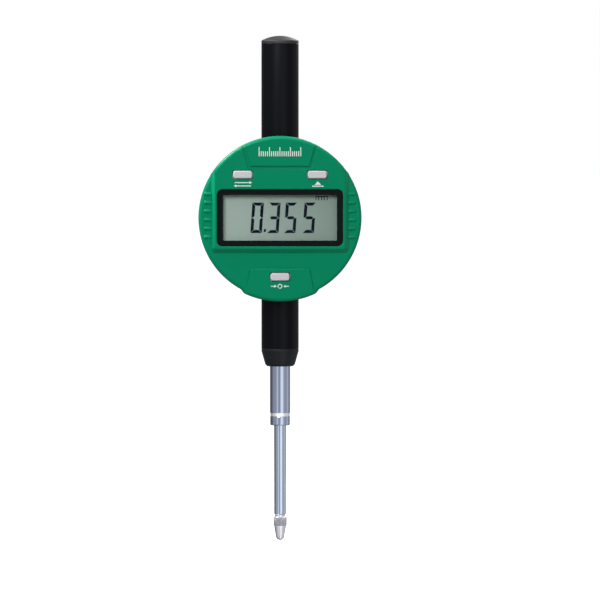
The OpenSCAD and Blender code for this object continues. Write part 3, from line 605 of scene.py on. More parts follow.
def pad_outline():
    """The pad, with the space for the upper panel cut out of its top."""
    foot, head = groove_side(GROOVE_W / 2)
    side_h = sqrt(CASE_R**2 - PAD_HALF_W**2)
    points = rounded_corners([(-PAD_HALF_W, PAD_FOOT, 0.8), (PAD_HALF_W, PAD_FOOT, 0.8),
                              (PAD_HALF_W, side_h, 0), (-PAD_HALF_W, side_h, 0)])[:-2]
    kinds = ["slope"] * len(points)
    for part, kind in (
        (top_arc(PAD_HALF_W, head[0], 16) + [head], "rim"),
        ([foot, (-foot[0], foot[1])], "lip"),
        (top_arc(-head[0], -PAD_HALF_W, 16), "rim"),
        ([(-PAD_HALF_W, side_h)], "slope"),
    ):
        points = points + part
        kinds = kinds + [kind] * len(part)
    kinds[kinds.index("lip") - 1] = "lip"
    return points, kinds


def panel_outline(shift, kind):
    """The upper panel, or the sunk plate round it, between the groove's sides."""
    foot, head = groove_side(shift)
    rim = top_arc(head[0], -head[0], 32)
    return [(-foot[0], foot[1]), foot] + rim + [(-head[0], head[1])], [kind] * 2 + ["rim"] * 32 + [kind]


def low_panel_outline():
    """The low panel, whose bottom is the lug's rim."""
    corner = angle_at(LUG_R, PANEL_FOOT_X, below=True)
    corner_h = LUG_R * sin(radians(corner))
    lug = arc((0, 0), LUG_R, -180 - corner, corner, 40) + [(PANEL_FOOT_X, corner_h)]
    top = rounded_corners([(PANEL_FOOT_X, corner_h, 0), (*PANEL_TOP, 1.2),
                           (-PANEL_TOP[0], PANEL_TOP[1], 1.2), (-PANEL_FOOT_X, corner_h, 0)])[1:-1]
    return lug + top, ["rim"] * 40 + ["step"] * (1 + len(top))


cover = Shape()
pockets = [(BEZEL_POCKET, "crisp")] + [(rectangle(*KEY_POCKET, *KEYS[key]), "crisp") for key in KEYS]
plate(cover, (case_outline(), "rim"), FLOOR_D, SPLIT_D, pockets,
      (arc((0, 0), INNER_R, 0, 360, 120), CEILING_D))
plate(cover, pad_outline(), PAD_D, UNDER_D,
      [(BEZEL_HOLE, "lip"), (key_hole("units"), "crisp"), (key_hole("origin"), "crisp")], rim_r=CASE_R)
plate(cover, panel_outline(1.5, "crisp"), PAD_D - GROOVE_DEEP, UNDER_D, rim_r=CASE_R)
plate(cover, panel_outline(-GROOVE_W / 2, "crisp"), PAD_D, UNDER_D, rim_r=CASE_R)
plate(cover, low_panel_outline(), PANEL_D, UNDER_D, [(key_hole("zero"), "crisp")], rim_r=LUG_R)
make_piece("front_cover_shell", cover, FINISHES["green_abs"], "case", ["front_cover"])

# %% [markdown]
# ## Ribs, by Geometry Nodes
#
# Six ribs on each side give the fingers a grip. They are copies of one rounded rod, half sunk in the
# cover, which is just what Geometry Nodes are for: one rod, a line of points, an instance on each.
#
# The rod starts as a sphere. Its two halves are pushed apart by the sign of each vertex's x, and the
# middle band of faces stretches into a straight rod with round ends. The sphere has an odd number of
# rings, so no vertex lies at x = 0, where the sign would be undecided. The tree ends in Realize
# Instances and Set Material, and the result is kept as a plain mesh.

# %% Geometry Nodes helpers
def new_tree(name, sizes):
    """A Geometry Nodes tree with a named input for each size. Returns it and its input sockets."""
    tree = bpy.data.node_groups.new(name, "GeometryNodeTree")
    for key, value in sizes.items():
        kind = "NodeSocketInt" if isinstance(value, int) else "NodeSocketFloat"
        tree.interface.new_socket(key, in_out="INPUT", socket_type=kind)
    tree.interface.new_socket("Geometry", in_out="OUTPUT", socket_type="NodeSocketGeometry")
    return tree, add(tree, "NodeGroupInput").outputs


def grow(name, tree, geometry, sizes, material, body, replaces=()):
    """Ends a tree, sets its inputs in millimetres, and keeps the result as a plain mesh piece."""
    solid = add(tree, "GeometryNodeRealizeInstances", {"Geometry": geometry})
    coated = add(tree, "GeometryNodeSetMaterial", {"Geometry": solid.outputs[0], "Material": material})
    add(tree, "NodeGroupOutput", {0: coated.outputs[0]})
    seed = bpy.data.objects.new(name, bpy.data.meshes.new(name))
    bpy.context.scene.collection.objects.link(seed)
    modifier = seed.modifiers.new("grow", "NODES")
    modifier.node_group = tree
    for item in tree.interface.items_tree:
        if item.in_out == "INPUT":
            value = sizes[item.name]
            modifier[item.identifier] = value if isinstance(value, int) else value * MM
    graph = bpy.context.evaluated_depsgraph_get()
    mesh = bpy.data.meshes.new_from_object(seed.evaluated_get(graph))
    bpy.data.objects.remove(seed)
    return finish_piece(name, mesh, material, body, replaces)


# %% Finger ribs
RIB_R = 0.9
RIB_RISE = 0.55
rib_sizes = {
    "Count": 6,
    "Pitch": -3.4,
    "Top": CENTRE_Z + 9.35,
    "Depth": -(FLOOR_D + RIB_RISE - RIB_R),
    "Side": 28.3,
    "Radius": RIB_R,
    "Half straight": 0.95,
}
tree, size = new_tree("finger_ribs", rib_sizes)
ball = add(tree, "GeometryNodeMeshUVSphere", {"Segments": 24, "Rings": 13, "Radius": size["Radius"]})
laid = add(tree, "GeometryNodeTransform", {"Geometry": ball.outputs["Mesh"], "Rotation": (0, pi / 2, 0)})
here = add(tree, "GeometryNodeInputPosition")
parts = add(tree, "ShaderNodeSeparateXYZ", {0: here.outputs[0]})
end = add(tree, "ShaderNodeMath", {0: parts.outputs["X"]}, operation="SIGN")
push = add(tree, "ShaderNodeMath", {0: end.outputs[0], 1: size["Half straight"]}, operation="MULTIPLY")
pushed = add(tree, "ShaderNodeCombineXYZ", {"X": push.outputs[0]})
rod = add(tree, "GeometryNodeSetPosition", {"Geometry": laid.outputs[0], "Offset": pushed.outputs[0]})
step = add(tree, "ShaderNodeCombineXYZ", {"Z": size["Pitch"]})
both = add(tree, "GeometryNodeJoinGeometry")
for side in (1, -1):
    sideways = add(tree, "ShaderNodeMath", {0: size["Side"], 1: side}, operation="MULTIPLY")
    start = add(tree, "ShaderNodeCombineXYZ",
                {"X": sideways.outputs[0], "Y": size["Depth"], "Z": size["Top"]})
    line = add(tree, "GeometryNodeMeshLine",
               {"Count": size["Count"], "Start Location": start.outputs[0], "Offset": step.outputs[0]})
    row = add(tree, "GeometryNodeInstanceOnPoints", {"Points": line.outputs[0], "Instance": rod.outputs[0]})
    tree.links.new(row.outputs[0], both.inputs[0])
ribs = grow("finger_ribs", tree, both.outputs[0], rib_sizes, FINISHES["green_abs"], "case")

# %% [markdown]
# ## Bezel, keys and display
#
# The bezel is a black frame with a wider seat behind it for the window. The keys are short blocks
# with soft edges on a flange that keeps them from falling out, and a post behind each reaches its
# switch. All of them are plates again.

# %% Bezel
BEZEL_BACK_D = -bezel_high[1]
BEZEL_FACE_H = 22.4
BEZEL_ROUND = 2.15
VIEW = (44.9, 18.0)
PLAY = 0.1
WINDOW_D = -window_low[1]
bezel_w, bezel_h = bezel_high[0] - bezel_low[0], bezel_high[2] - bezel_low[2]
window_w, window_h = window_high[0] - window_low[0], window_high[2] - window_low[2]
bezel = Shape()
plate(bezel, (rectangle(bezel_w, BEZEL_FACE_H, BEZEL_ROUND), "crisp"), BEZEL_D, WINDOW_D,
      [(rectangle(*VIEW, 0.4), "crisp")])
plate(bezel, (rectangle(bezel_w - PLAY, bezel_h - PLAY, 2.2), "hidden"), WINDOW_D, BEZEL_BACK_D,
      [(rectangle(window_w + PLAY, window_h + PLAY, 0.6), "hidden")])
make_piece("display_frame", bezel, FINISHES["bezel_gloss"], "case", ["display_bezel"])

# %% Keys
KEY_FLANGE_T = 0.8
POST_END_D = -span("units_button")[1][1]
KEY_FACE_T = 1.8
KEY_FLANGE_ROUND = 1.0
POST_R = 1.3
for key, node in (("units", "units_button"), ("origin", "origin_button"), ("zero", "zero_button")):
    key_low, key_high = span(node)
    front_d = -key_low[1]
    level = PANEL_D if key == "zero" else PAD_D
    flange_d = level - KEY_FACE_T
    flange_w, flange_h = key_high[0] - key_low[0], key_high[2] - key_low[2]
    x, h = KEYS[key]
    block = Shape()
    plate(block, (rectangle(*KEY_FACE, x, h), "key"), front_d, flange_d)
    plate(block, (rectangle(flange_w, flange_h, KEY_FLANGE_ROUND, x, h), "hidden"),
          flange_d, flange_d - KEY_FLANGE_T)
    plate(block, (arc((x, h), POST_R, 0, 360, 24), "hidden"), flange_d - KEY_FLANGE_T, POST_END_D)
    make_piece(f"{key}_key_cap", block, FINISHES["button_plastic"], f"{key}_key", [node])

# %% [markdown]
# The digits of a liquid crystal display are seven-segment figures that lean a little to the right.
# Each segment is a bar whose ends are cut at 45 degrees, with a hair of a gap to the next one. One
# function makes a figure from the list of segments that are on. Beside the number, a small comb of
# five bars under a line stands for the unit. The ink is laid on the panel as slabs of 0.02 mm.

# %% Digits
DIGIT_W, DIGIT_H, STROKE, SEGMENT_GAP = 4.55, 12.0, 1.2, 0.11
LEAN = tan(radians(4))
DIGIT_FOOT = -6.05
INK_T = 0.02
INK_GAP = 0.002
DIGITS = (("0", -11.7), ("3", -5.1), ("5", 1.55), ("5", 8.85))
COMB_LEFT, COMB_PITCH, COMB_FOOT, COMB_TOP = 14.0, 1.1, 6.9, 8.2
BAR_W, BAR_SHIFT = 0.34, 0.06
SEGMENTS_ON = {"0": "abcdef", "3": "abcdg", "5": "acdfg"}


def slab(shape, outline, front_d, back_d):
    """Adds a thin plate with plain edges: print or ink."""
    front, back = shape.loop(outline, front_d), shape.loop(outline, back_d)
    shape.fill(front)
    shape.wall(front, back)
    shape.fill(back)


def segment(letter):
    """One bar's outline, before it leans. a is the top, then clockwise to f; g is the middle."""
    w, h, t, g = DIGIT_W, DIGIT_H, STROKE, SEGMENT_GAP
    mid, half = h / 2, STROKE / 2
    top = [(g, h), (t + g, h - t), (w - t - g, h - t), (w - g, h)]
    middle = [(half + g, mid), (t + g, mid - half), (w - t - g, mid - half), (w - half - g, mid),
              (w - t - g, mid + half), (t + g, mid + half)]
    upper_right = [(w, mid + g), (w, h - g), (w - t, h - t - g), (w - t, mid + half + g),
                   (w - half, mid + g)]
    return {
        "a": top,
        "d": [(x, h - y) for x, y in top],
        "g": middle,
        "b": upper_right,
        "c": [(x, h - y) for x, y in upper_right],
        "f": [(w - x, y) for x, y in upper_right],
        "e": [(w - x, h - y) for x, y in upper_right],
    }[letter]


bars = []
for figure, left in DIGITS:
    for letter in SEGMENTS_ON[figure]:
        bars.append([(left + x + y * LEAN, DIGIT_FOOT + y) for x, y in segment(letter)])
bars.append([(-6.4, -5.6), (-5.6, -5.6), (-5.5, -4.5), (-6.3, -4.5)])
for k in range(5):
    bar_x = COMB_LEFT + COMB_PITCH * k
    bars.append([(bar_x, COMB_FOOT), (bar_x + BAR_W, COMB_FOOT),
                 (bar_x + BAR_W + BAR_SHIFT, COMB_TOP), (bar_x + BAR_SHIFT, COMB_TOP)])
bars.append([(14.05, COMB_TOP), (18.8, COMB_TOP), (18.83, 8.55), (14.08, 8.55)])
digits = Shape()
for bar in bars:
    slab(digits, bar, LCD_D + INK_T, LCD_D + INK_GAP)
shown = make_piece("lcd_figures", digits, LCD_INK, "case")

# %% [markdown]
# ## Print on the cover
#
# White print tells the keys apart. Signs are used here, which everyone can read: two opposed arrows
# to change the unit, a triangle on a line for the origin, and a ring between arrows that point at it
# for zero. The upper panel carries a row of graduation lines, every fifth one longer, as on a rule.
# That row is a second Geometry Nodes tree: the remainder of each point's index decides its length.
#
# Pad printing lays down a few hundredths of a millimetre of ink, so each sign is a slab that thick.

# %% Signs under the keys
PRINT_T = 0.025
SUNK = 0.02


def arrow(tip_x, tail_x, h, head=1.0, half=0.55, shaft=0.17):
    """The outline of an arrow at height h, which points from tail_x to tip_x."""
    way = 1 if tip_x > tail_x else -1
    neck = tip_x - way * head
    points = [(tip_x, h), (neck, h + half), (neck, h + shaft), (tail_x, h + shaft), (tail_x, h - shaft),
              (neck, h - shaft), (neck, h - half)]
    return points if way > 0 else points[::-1]


RING_H = -27.0
RING_STEPS = 32


def signs(outlines, level):
    """Adds printed outlines on the face at that depth."""
    for outline in outlines:
        slab(print_shape, outline, level + PRINT_T, level - SUNK)


print_shape = Shape()
signs([arrow(-11.0, -17.8, 13.85), arrow(-18.2, -11.4, 12.55)], PAD_D)
signs([[(12.7, 12.25), (17.2, 12.25), (17.2, 12.65), (12.7, 12.65)],
       [(13.6, 12.95), (16.3, 12.95), (14.95, 14.35)]], PAD_D)
signs([arrow(-1.3, -3.5, RING_H, 0.9), arrow(1.3, 3.5, RING_H, 0.9)], PANEL_D)
ring_out, ring_in = (arc((0, RING_H), r, 0, 360, RING_STEPS) for r in (0.95, 0.6))
for k in range(RING_STEPS):
    j = (k + 1) % RING_STEPS
    signs([[ring_in[k], ring_out[k], ring_out[j], ring_in[j]]], PANEL_D)
marks = make_piece("key_signs", print_shape, WHITE_PRINT, "case")

# %% Graduation lines on the upper panel
scale_sizes = {
    "Count": 21,
    "Pitch": 0.82,
    "Left": -8.2,
    "Foot": CENTRE_Z + 24.2,
    "Depth": -(PAD_D + (PRINT_T - SUNK) / 2),
    "Line width": 0.34,
    "Thickness": PRINT_T + SUNK,
    "Short": 2.0,
}
FIFTH = 5.0
LONGER_BY = 0.8
tree, size = new_tree("graduation_lines", scale_sizes)
box_size = add(tree, "ShaderNodeCombineXYZ",
               {"X": size["Line width"], "Y": size["Thickness"], "Z": size["Short"]})
bar = add(tree, "GeometryNodeMeshCube", {"Size": box_size.outputs[0]})
half_up = add(tree, "ShaderNodeMath", {0: size["Short"], 1: 0.5}, operation="MULTIPLY")
lift = add(tree, "ShaderNodeCombineXYZ", {"Z": half_up.outputs[0]})
standing = add(tree, "GeometryNodeTransform", {"Geometry": bar.outputs[0], "Translation": lift.outputs[0]})
start = add(tree, "ShaderNodeCombineXYZ", {"X": size["Left"], "Y": size["Depth"], "Z": size["Foot"]})
step = add(tree, "ShaderNodeCombineXYZ", {"X": size["Pitch"]})
line = add(tree, "GeometryNodeMeshLine",
           {"Count": size["Count"], "Start Location": start.outputs[0], "Offset": step.outputs[0]})
index = add(tree, "GeometryNodeInputIndex")
rest = add(tree, "ShaderNodeMath", {0: index.outputs[0], 1: FIFTH}, operation="MODULO")
is_fifth = add(tree, "ShaderNodeMath", {0: rest.outputs[0], 1: 0.5}, operation="LESS_THAN")
stretch = add(tree, "ShaderNodeMath", {0: is_fifth.outputs[0], 1: LONGER_BY, 2: 1.0},
              operation="MULTIPLY_ADD")
tall = add(tree, "ShaderNodeCombineXYZ", {"X": 1.0, "Y": 1.0, "Z": stretch.outputs[0]})
row = add(tree, "GeometryNodeInstanceOnPoints",
          {"Points": line.outputs[0], "Instance": standing.outputs[0], "Scale": tall.outputs[0]})
scale = grow("graduation_lines", tree, row.outputs[0], scale_sizes, WHITE_PRINT, "case")

# %% [markdown]
# ## Turned parts
#
# Everything on the spindle's axis comes off a lathe, so it is described the way a turner sees it: by
# half of its section. `turn` takes corners as (radius, height, rounding), rounds them, and spins the
# outline about the axis. Blender's Spin operator could do it too, but it can leave a shape inside out
# and it does not round corners. Even a sharp turned edge is broken by a tenth of a millimetre, and
# that tiny rounding is what catches the light. The groove above the end ring is too narrow to be told
# by its shape alone, so it gets a painted highlight: a thin skin in a near-white finish, for the
# bright ring that its edges catch.

# %% Turning
def turn(name, corners, material, body, replaces=(), steps=5, segments=128):
    """Spins a closed outline of (radius, z, rounding) corners about the axis of the spindle."""
    outline = rounded_corners(corners, steps)
    count = len(outline)
    shape = Shape()
    for k in range(segments):
        a = 2 * pi * k / segments
        shape.points += [(r * cos(a), r * sin(a), z) for r, z in outline]
    for k in range(segments):
        here, there = k * count, (k + 1) % segments * count
        for i in range(count):
            j = (i + 1) % count
            shape.faces.append((here + i, here + j, there + j, there + i))
    return make_piece(name, shape, material, body, replaces)


TUBE_R = radius("upper_tube")
TUBE_IN_R = radius("upper_bush")
BUSH_R = radius("lower_bush")
STEM_R = 4.0
SPINDLE_R = radius("spindle")
BREAK = 0.15
tube_low, tube_top = heights("upper_tube")
print("tube radius", round(TUBE_R, 2), "spindle radius", round(SPINDLE_R, 3))

# %% Tubes and cap
turn("upper_tube_turned",
     [(TUBE_IN_R, tube_low, 0), (TUBE_R, tube_low, BREAK), (TUBE_R, tube_top, BREAK),
      (TUBE_IN_R, tube_top, 0)],
     FINISHES["black_anodised"], "case", ["upper_tube"])

cap_low, cap_top = heights("tube_cap")
CAP_RIM_H = 1.2
rim_z = tube_top + CAP_RIM_H
dome_h = cap_top - rim_z
dome_r = (TUBE_R**2 + dome_h**2) / (2 * dome_h)
half_angle = math.asin(TUBE_R / dome_r)
dome = [(dome_r * sin(half_angle * k / 16), cap_top - dome_r * (1 - cos(half_angle * k / 16)), 0)
        for k in range(15, 0, -1)]
turn("dome_cap",
     [(0, cap_low, 0), (TUBE_IN_R - 0.05, cap_low, 0.2), (TUBE_IN_R - 0.05, tube_top, 0),
      (TUBE_R, tube_top, BREAK), (TUBE_R, rim_z, 0.25), *dome, (0, cap_top, 0)],
     FINISHES["cap_plastic"], "cap", ["tube_cap"])

seat_top = heights("lower_tube")[1]
spigot_z = heights("lower_tube")[0]
nose_h = heights("nose_cone")[1]
SLEEVE_R = radius("stem")
SPIGOT_R = SLEEVE_R + 0.6
turn("lower_tube_turned",
     [(SLEEVE_R, spigot_z, 0), (SPIGOT_R, spigot_z, 0), (SPIGOT_R, nose_h, 0), (TUBE_R, nose_h, BREAK),
      (TUBE_R, seat_top, 0), (SLEEVE_R, seat_top, 0)],
     FINISHES["black_anodised"], "case", ["lower_tube"])
nose_r = radius("nose_cone")
FLANGE_Z = 2.5
# The nose's finish is painted a little greyer than the tubes, for light thrown up onto it from below.
turn("nose_cone_turned",
     [(STEM_R + 0.3, 0, 0), (STEM_R + 1.1, 0, 0.3), (STEM_R + 1.9, 0.8, 0.4), (nose_r, nose_h - 1, 0.5),
      (nose_r, nose_h, 0.1), (SPIGOT_R, nose_h, 0), (SPIGOT_R, spigot_z, 0), (SLEEVE_R, spigot_z, 0),
      (SLEEVE_R, FLANGE_Z, 0), (STEM_R + 0.3, FLANGE_Z, 0)],
     FINISHES["nose_anodised"], "case", ["nose_cone"])

# %% Stem and its end ring
ring_low, ring_seat = heights("stem_end_ring")
ring_r = radius("stem_end_ring")
stem_low, stem_top = heights("stem")
NECK_R = STEM_R - 0.2
STEM_LEN = 18.5
END_SPIGOT_R = (BUSH_R + NECK_R) / 2
turn("stem_ground",
     [(BUSH_R, stem_low, 0), (END_SPIGOT_R, stem_low, 0), (END_SPIGOT_R, ring_seat, 0),
      (NECK_R, ring_seat, 0), (NECK_R, -STEM_LEN, 0), (STEM_R - 0.1, -STEM_LEN, 0.1),
      (STEM_R, -STEM_LEN + 0.35, 0.2), (STEM_R, 0, 0), (STEM_R + 0.3, 0, 0), (STEM_R + 0.3, FLANGE_Z, 0),
      (SLEEVE_R, FLANGE_Z, 0), (SLEEVE_R, stem_top, 0), (BUSH_R, stem_top, 0)],
     FINISHES["stem_steel"], "case", ["stem"])
# Painted highlight: a thin near-white skin laid in the groove, for the ring of light that its edges catch.
HIGHLIGHT_SKIN = 0.02
groove = turn("stem_groove_painted_highlight",
              [(NECK_R - HIGHLIGHT_SKIN, ring_seat, 0), (NECK_R + HIGHLIGHT_SKIN, ring_seat, 0),
               (NECK_R + HIGHLIGHT_SKIN, -STEM_LEN, 0), (NECK_R - HIGHLIGHT_SKIN, -STEM_LEN, 0)],
              FINISHES["turned_steel"], "case")
print("groove between", round(ring_seat, 2), "and", -STEM_LEN)
wiper_z = heights("wiper_seal")[0]
turn("end_ring_turned",
     [(SPINDLE_R + 0.25, ring_low, 0), (ring_r - 0.3, ring_low, 0.1), (ring_r, ring_low + 0.3, 0.1),
      (ring_r, ring_seat - 0.3, 0.2), (NECK_R, ring_seat, 0), (END_SPIGOT_R, ring_seat, 0),
      (END_SPIGOT_R, wiper_z, 0), (SPINDLE_R + 0.25, wiper_z, 0)],
     FINISHES["stem_steel"], "case", ["stem_end_ring"])

# %% Spindle and contact point
spindle_low, spindle_top = heights("spindle")
STUD_R = SPINDLE_R * 0.53
STUD_TOP = spindle_low + 5
TAPER = 0.4
turn("spindle_ground",
     [(STUD_R, spindle_low, 0), (SPINDLE_R - TAPER, spindle_low, 0.1),
      (SPINDLE_R, spindle_low + TAPER, 0.2), (SPINDLE_R, spindle_top - TAPER, 0.2),
      (SPINDLE_R - TAPER, spindle_top, 0.1), (0, spindle_top, 0), (0, STUD_TOP, 0), (STUD_R, STUD_TOP, 0)],
     FINISHES["spindle_steel"], "spindle", ["spindle"])
BALL_R = radius("contact_ball")
ball_z = (heights("contact_ball")[0] + heights("contact_ball")[1]) / 2
COLLAR_R = radius("contact_point")
collar_top = spindle_low - 0.8
collar_low = collar_top - 3.6
SHOULDER_R = COLLAR_R * 0.88
KNURL_DEEP = 0.16
core_r = COLLAR_R - KNURL_DEEP
socket = [(BALL_R * sin(radians(a)), ball_z + BALL_R * cos(radians(a)), 0) for a in range(75, 0, -15)]
turn("contact_point_turned",
     [(0, ball_z + BALL_R, 0), *socket[::-1], (BALL_R + 0.05, ball_z, 0),
      (SHOULDER_R, collar_low - 0.4, 0.15), (SHOULDER_R, collar_low, 0),
      (core_r - 0.15, collar_low, 0.1), (core_r, collar_low + 0.3, 0.1), (core_r, collar_top - 0.3, 0.1),
      (core_r - 0.3, collar_top, 0.1), (SPINDLE_R - TAPER, collar_top, 0),
      (SPINDLE_R - TAPER, spindle_low, 0), (STUD_R, spindle_low, 0), (STUD_R, STUD_TOP, 0),
      (0, STUD_TOP, 0)],
     FINISHES["point_steel"], "spindle", ["contact_point"])
ball_side = [(BALL_R * sin(radians(a)), ball_z - BALL_R * cos(radians(a)), 0) for a in range(6, 180, 6)]
turn("contact_ball_ground", [(0, ball_z - BALL_R, 0), *ball_side, (0, ball_z + BALL_R, 0)],
     FINISHES["ball_carbide"], "spindle", ["contact_ball"])

# %% [markdown]
# ## Knurl and spring, by Geometry Nodes
#
# The collar is knurled, so that fingers can unscrew it. A straight knurl is a ring of equal ridges.
# One ridge is a slim four-sided spindle shape with an edge turned outwards, made with the same sign
# trick as the ribs, and each point of a circle gets one, turned by its share of a full circle.
#
# The return spring is a Curve Spiral with a round wire swept along it. It sits inside the case.

# %% Knurl
knurl_sizes = {
    "Count": 40,
    "Ring radius": core_r - 0.02,
    "Ridge radius": COLLAR_R - core_r + 0.01,
    "Half straight": 1.55,
    "Middle": (collar_low + collar_top) / 2,
}
tree, size = new_tree("collar_knurl", knurl_sizes)
ridge = add(tree, "GeometryNodeMeshUVSphere", {"Segments": 4, "Rings": 5, "Radius": size["Ridge radius"]})
here = add(tree, "GeometryNodeInputPosition")
parts = add(tree, "ShaderNodeSeparateXYZ", {0: here.outputs[0]})
end = add(tree, "ShaderNodeMath", {0: parts.outputs["Z"]}, operation="SIGN")
push = add(tree, "ShaderNodeMath", {0: end.outputs[0], 1: size["Half straight"]}, operation="MULTIPLY")
pushed = add(tree, "ShaderNodeCombineXYZ", {"Z": push.outputs[0]})
long_ridge = add(tree, "GeometryNodeSetPosition",
                 {"Geometry": ridge.outputs["Mesh"], "Offset": pushed.outputs[0]})
ring = add(tree, "GeometryNodeMeshCircle", {"Vertices": size["Count"], "Radius": size["Ring radius"]})
lift = add(tree, "ShaderNodeCombineXYZ", {"Z": size["Middle"]})
placed = add(tree, "GeometryNodeTransform", {"Geometry": ring.outputs[0], "Translation": lift.outputs[0]})
index = add(tree, "GeometryNodeInputIndex")
share = add(tree, "ShaderNodeMath", {0: index.outputs[0], 1: size["Count"]}, operation="DIVIDE")
turned_by = add(tree, "ShaderNodeMath", {0: share.outputs[0], 1: 2 * pi}, operation="MULTIPLY")
facing = add(tree, "ShaderNodeCombineXYZ", {"Z": turned_by.outputs[0]})
row = add(tree, "GeometryNodeInstanceOnPoints",
          {"Points": placed.outputs[0], "Instance": long_ridge.outputs[0], "Rotation": facing.outputs[0]})
# The knurl's finish is the point's plate painted darker, as shade between the ridges.
knurl = grow("collar_knurl", tree, row.outputs[0], knurl_sizes, FINISHES["knurl"], "spindle")

# %% Return spring
spring_low, spring_top = heights("return_spring")
WIRE_D = 0.4
spring_sizes = {
    "Wire radius": WIRE_D / 2,
    "Coil radius": radius("return_spring") - WIRE_D / 2,
    "Foot": spring_low + WIRE_D / 2,
    "Height": spring_top - spring_low - WIRE_D,
}
SPRING_TURNS = 12.0
tree, size = new_tree("return_spring_coil", spring_sizes)
coil = add(tree, "GeometryNodeCurveSpiral",
           {"Resolution": 48, "Rotations": SPRING_TURNS, "Start Radius": size["Coil radius"],
            "End Radius": size["Coil radius"], "Height": size["Height"]})
lift = add(tree, "ShaderNodeCombineXYZ", {"Z": size["Foot"]})
placed = add(tree, "GeometryNodeTransform", {"Geometry": coil.outputs[0], "Translation": lift.outputs[0]})
wire = add(tree, "GeometryNodeCurvePrimitiveCircle", {"Resolution": 10, "Radius": size["Wire radius"]})
swept = add(tree, "GeometryNodeCurveToMesh",
            {"Curve": placed.outputs[0], "Profile Curve": wire.outputs[0], "Fill Caps": True})
spring = grow("return_spring_coil", tree, swept.outputs[0], spring_sizes, FINISHES["spring_wire"], "case",
              ["return_spring"])
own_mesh(spring)

# %% [markdown]
# ## Studio and camera
#
# The object is shown the way catalogues show such tools: on white, in soft light, seen straight from
# the front and from a few degrees above. Steel and black gloss have hardly a look of their own. They
# show what stands round them, so the studio is designed as a band of light and dark seen from the
# object: a narrow dark gap where the camera stands, a bright softbox on each side of it, a quieter
# middle, and a dim back. That band is a Color Ramp over the compass direction of the sky. A softbox
# overhead lights the edges that face up, such as the ring groove of the stem and the dome of the cap.
#
# The Light Path node does two more things. The camera itself sees plain white. And matt surfaces get
# only a third of the sky's light, because a real studio fills far less of the sky than this band does.

# %% Sky
scene = bpy.context.scene
scene.view_settings.view_transform = "Standard"
world = bpy.data.worlds.new("studio")
world.use_nodes = True
scene.world = world
sky = world.node_tree
sky.nodes.clear()
# Compass direction seen from the object, as a share of a full turn: 0.5 is the camera. The second
# number is how bright the studio is there.
BAND = [
    (0.0, 0.22), (0.14, 0.20), (0.20, 0.18), (0.247, 0.42), (0.29, 0.58), (0.35, 0.54), (0.39, 0.75),
    (0.415, 1.2), (0.44, 0.95), (0.462, 0.38), (0.485, 0.55), (0.51, 0.95), (0.55, 1.75), (0.58, 1.5),
    (0.625, 0.74), (0.67, 0.56), (0.72, 0.64), (0.77, 0.9), (0.84, 0.38), (1.0, 0.22),
]
way = add(sky, "ShaderNodeTexCoord")
parts = add(sky, "ShaderNodeSeparateXYZ", {0: way.outputs["Generated"]})
back_y = add(sky, "ShaderNodeMath", {0: parts.outputs["Y"], 1: -1.0}, operation="MULTIPLY")
compass = add(sky, "ShaderNodeMath", {0: parts.outputs["X"], 1: back_y.outputs[0]}, operation="ARCTAN2")
turn_share = add(sky, "ShaderNodeMapRange", {0: compass.outputs[0], 1: -pi, 2: pi})
ramp = add(sky, "ShaderNodeValToRGB", {0: turn_share.outputs[0]})
ramp.color_ramp.interpolation = "EASE"
stops = ramp.color_ramp.elements
TOP_LIGHT = 2.0
for i, (share, light) in enumerate(BAND):
    stop = stops[i] if i < 2 else stops.new(share)
    stop.position = share
    stop.color = (light / TOP_LIGHT, light / TOP_LIGHT, light / TOP_LIGHT * 1.02, 1)
OVERHEAD = (0.8, 0.8, 0.82, 1)
OVERHEAD_EDGE, OVERHEAD_FULL = 0.72, 0.95
height = add(sky, "ShaderNodeMapRange", {0: parts.outputs["Z"], 1: OVERHEAD_EDGE, 2: OVERHEAD_FULL})
dome_sky = add(sky, "ShaderNodeMix", {0: height.outputs[0], 6: ramp.outputs[0], 7: OVERHEAD},
               data_type="RGBA")
seen = add(sky, "ShaderNodeLightPath")
SOFT_SHARE = 0.36
softer = add(sky, "ShaderNodeMath",
             {0: seen.outputs["Is Diffuse Ray"], 1: TOP_LIGHT * (SOFT_SHARE - 1), 2: TOP_LIGHT},
             operation="MULTIPLY_ADD")
studio = add(sky, "ShaderNodeBackground", {"Color": dome_sky.outputs[2], "Strength": softer.outputs[0]})
white = add(sky, "ShaderNodeBackground", {"Color": (1, 1, 1, 1), "Strength": 1.0})
choice = add(sky, "ShaderNodeMixShader",
             {0: seen.outputs["Is Camera Ray"], 1: studio.outputs[0], 2: white.outputs[0]})
add(sky, "ShaderNodeOutputWorld", {0: choice.outputs[0]})
print("sky stops:", len(stops))


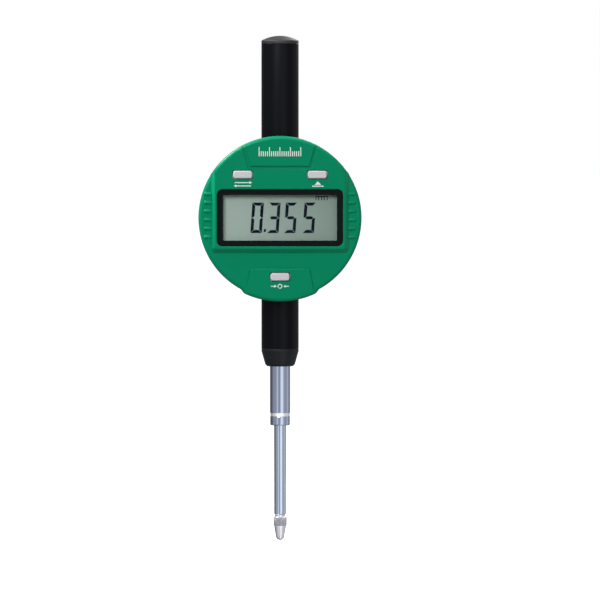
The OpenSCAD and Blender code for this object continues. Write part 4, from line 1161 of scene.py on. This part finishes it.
# %% Lamps
def lamp(name, place, aim, size, power):
    """A square soft lamp that shines at aim. The camera does not see it."""
    light = bpy.data.lights.new(name, "AREA")
    light.shape, light.size, light.energy = "SQUARE", size, power
    holder = bpy.data.objects.new(name, light)
    holder.location = place
    holder.rotation_euler = (Vector(aim) - Vector(place)).to_track_quat("-Z", "Y").to_euler()
    holder.visible_camera = False
    scene.collection.objects.link(holder)
    print(name, power, "W")


MIDDLE = (0, 0, 0.04)
lamp("key", (-0.4, -1.25, 0.75), MIDDLE, 0.7, 13.0)
lamp("top_left", (-0.8, 0.05, 1.05), MIDDLE, 0.35, 24.0)
lamp("behind", (0.6, 1.3, 0.7), MIDDLE, 0.8, 14.0)

# %% Floor
FLOOR_Z = -0.12
floor_mesh = bpy.data.meshes.new("floor")
FLOOR_HALF = 20
corners = [(x * FLOOR_HALF, y * FLOOR_HALF, FLOOR_Z) for x, y in ((-1, -1), (1, -1), (1, 1), (-1, 1))]
floor_mesh.from_pydata(corners, [], [(0, 1, 2, 3)])
floor = bpy.data.objects.new("floor", floor_mesh)
scene.collection.objects.link(floor)
paper = bpy.data.materials.new("white_paper_sweep")
paper.use_nodes = True
paper_shader = paper.node_tree.nodes["Principled BSDF"]
paper_shader.inputs["Base Color"].default_value = linear("#f2f2f2")
paper_shader.inputs["Roughness"].default_value = 0.9
paper_shader.inputs["Emission Color"].default_value = (1, 1, 1, 1)
paper_shader.inputs["Emission Strength"].default_value = 0.8
floor_mesh.materials.append(paper)
floor.visible_glossy = False
floor.visible_diffuse = False
print("floor at", 1000 * FLOOR_Z, "mm")

# %% Camera
CAMERA_FAR = 3.0
CAMERA_ABOVE = radians(1.5)
AIM = Vector((7.9 * MM, 0, 26.2 * MM))
lens = bpy.data.cameras.new("camera")
lens.sensor_width = 36
lens.lens = 454.5
camera = bpy.data.objects.new("camera", lens)
camera.location = AIM + CAMERA_FAR * Vector((0, -cos(CAMERA_ABOVE), sin(CAMERA_ABOVE)))
camera.rotation_euler = (AIM - camera.location).to_track_quat("-Z", "Y").to_euler()
scene.collection.objects.link(camera)
scene.camera = camera
print("camera", CAMERA_FAR, "m away, lens", lens.lens, "mm")
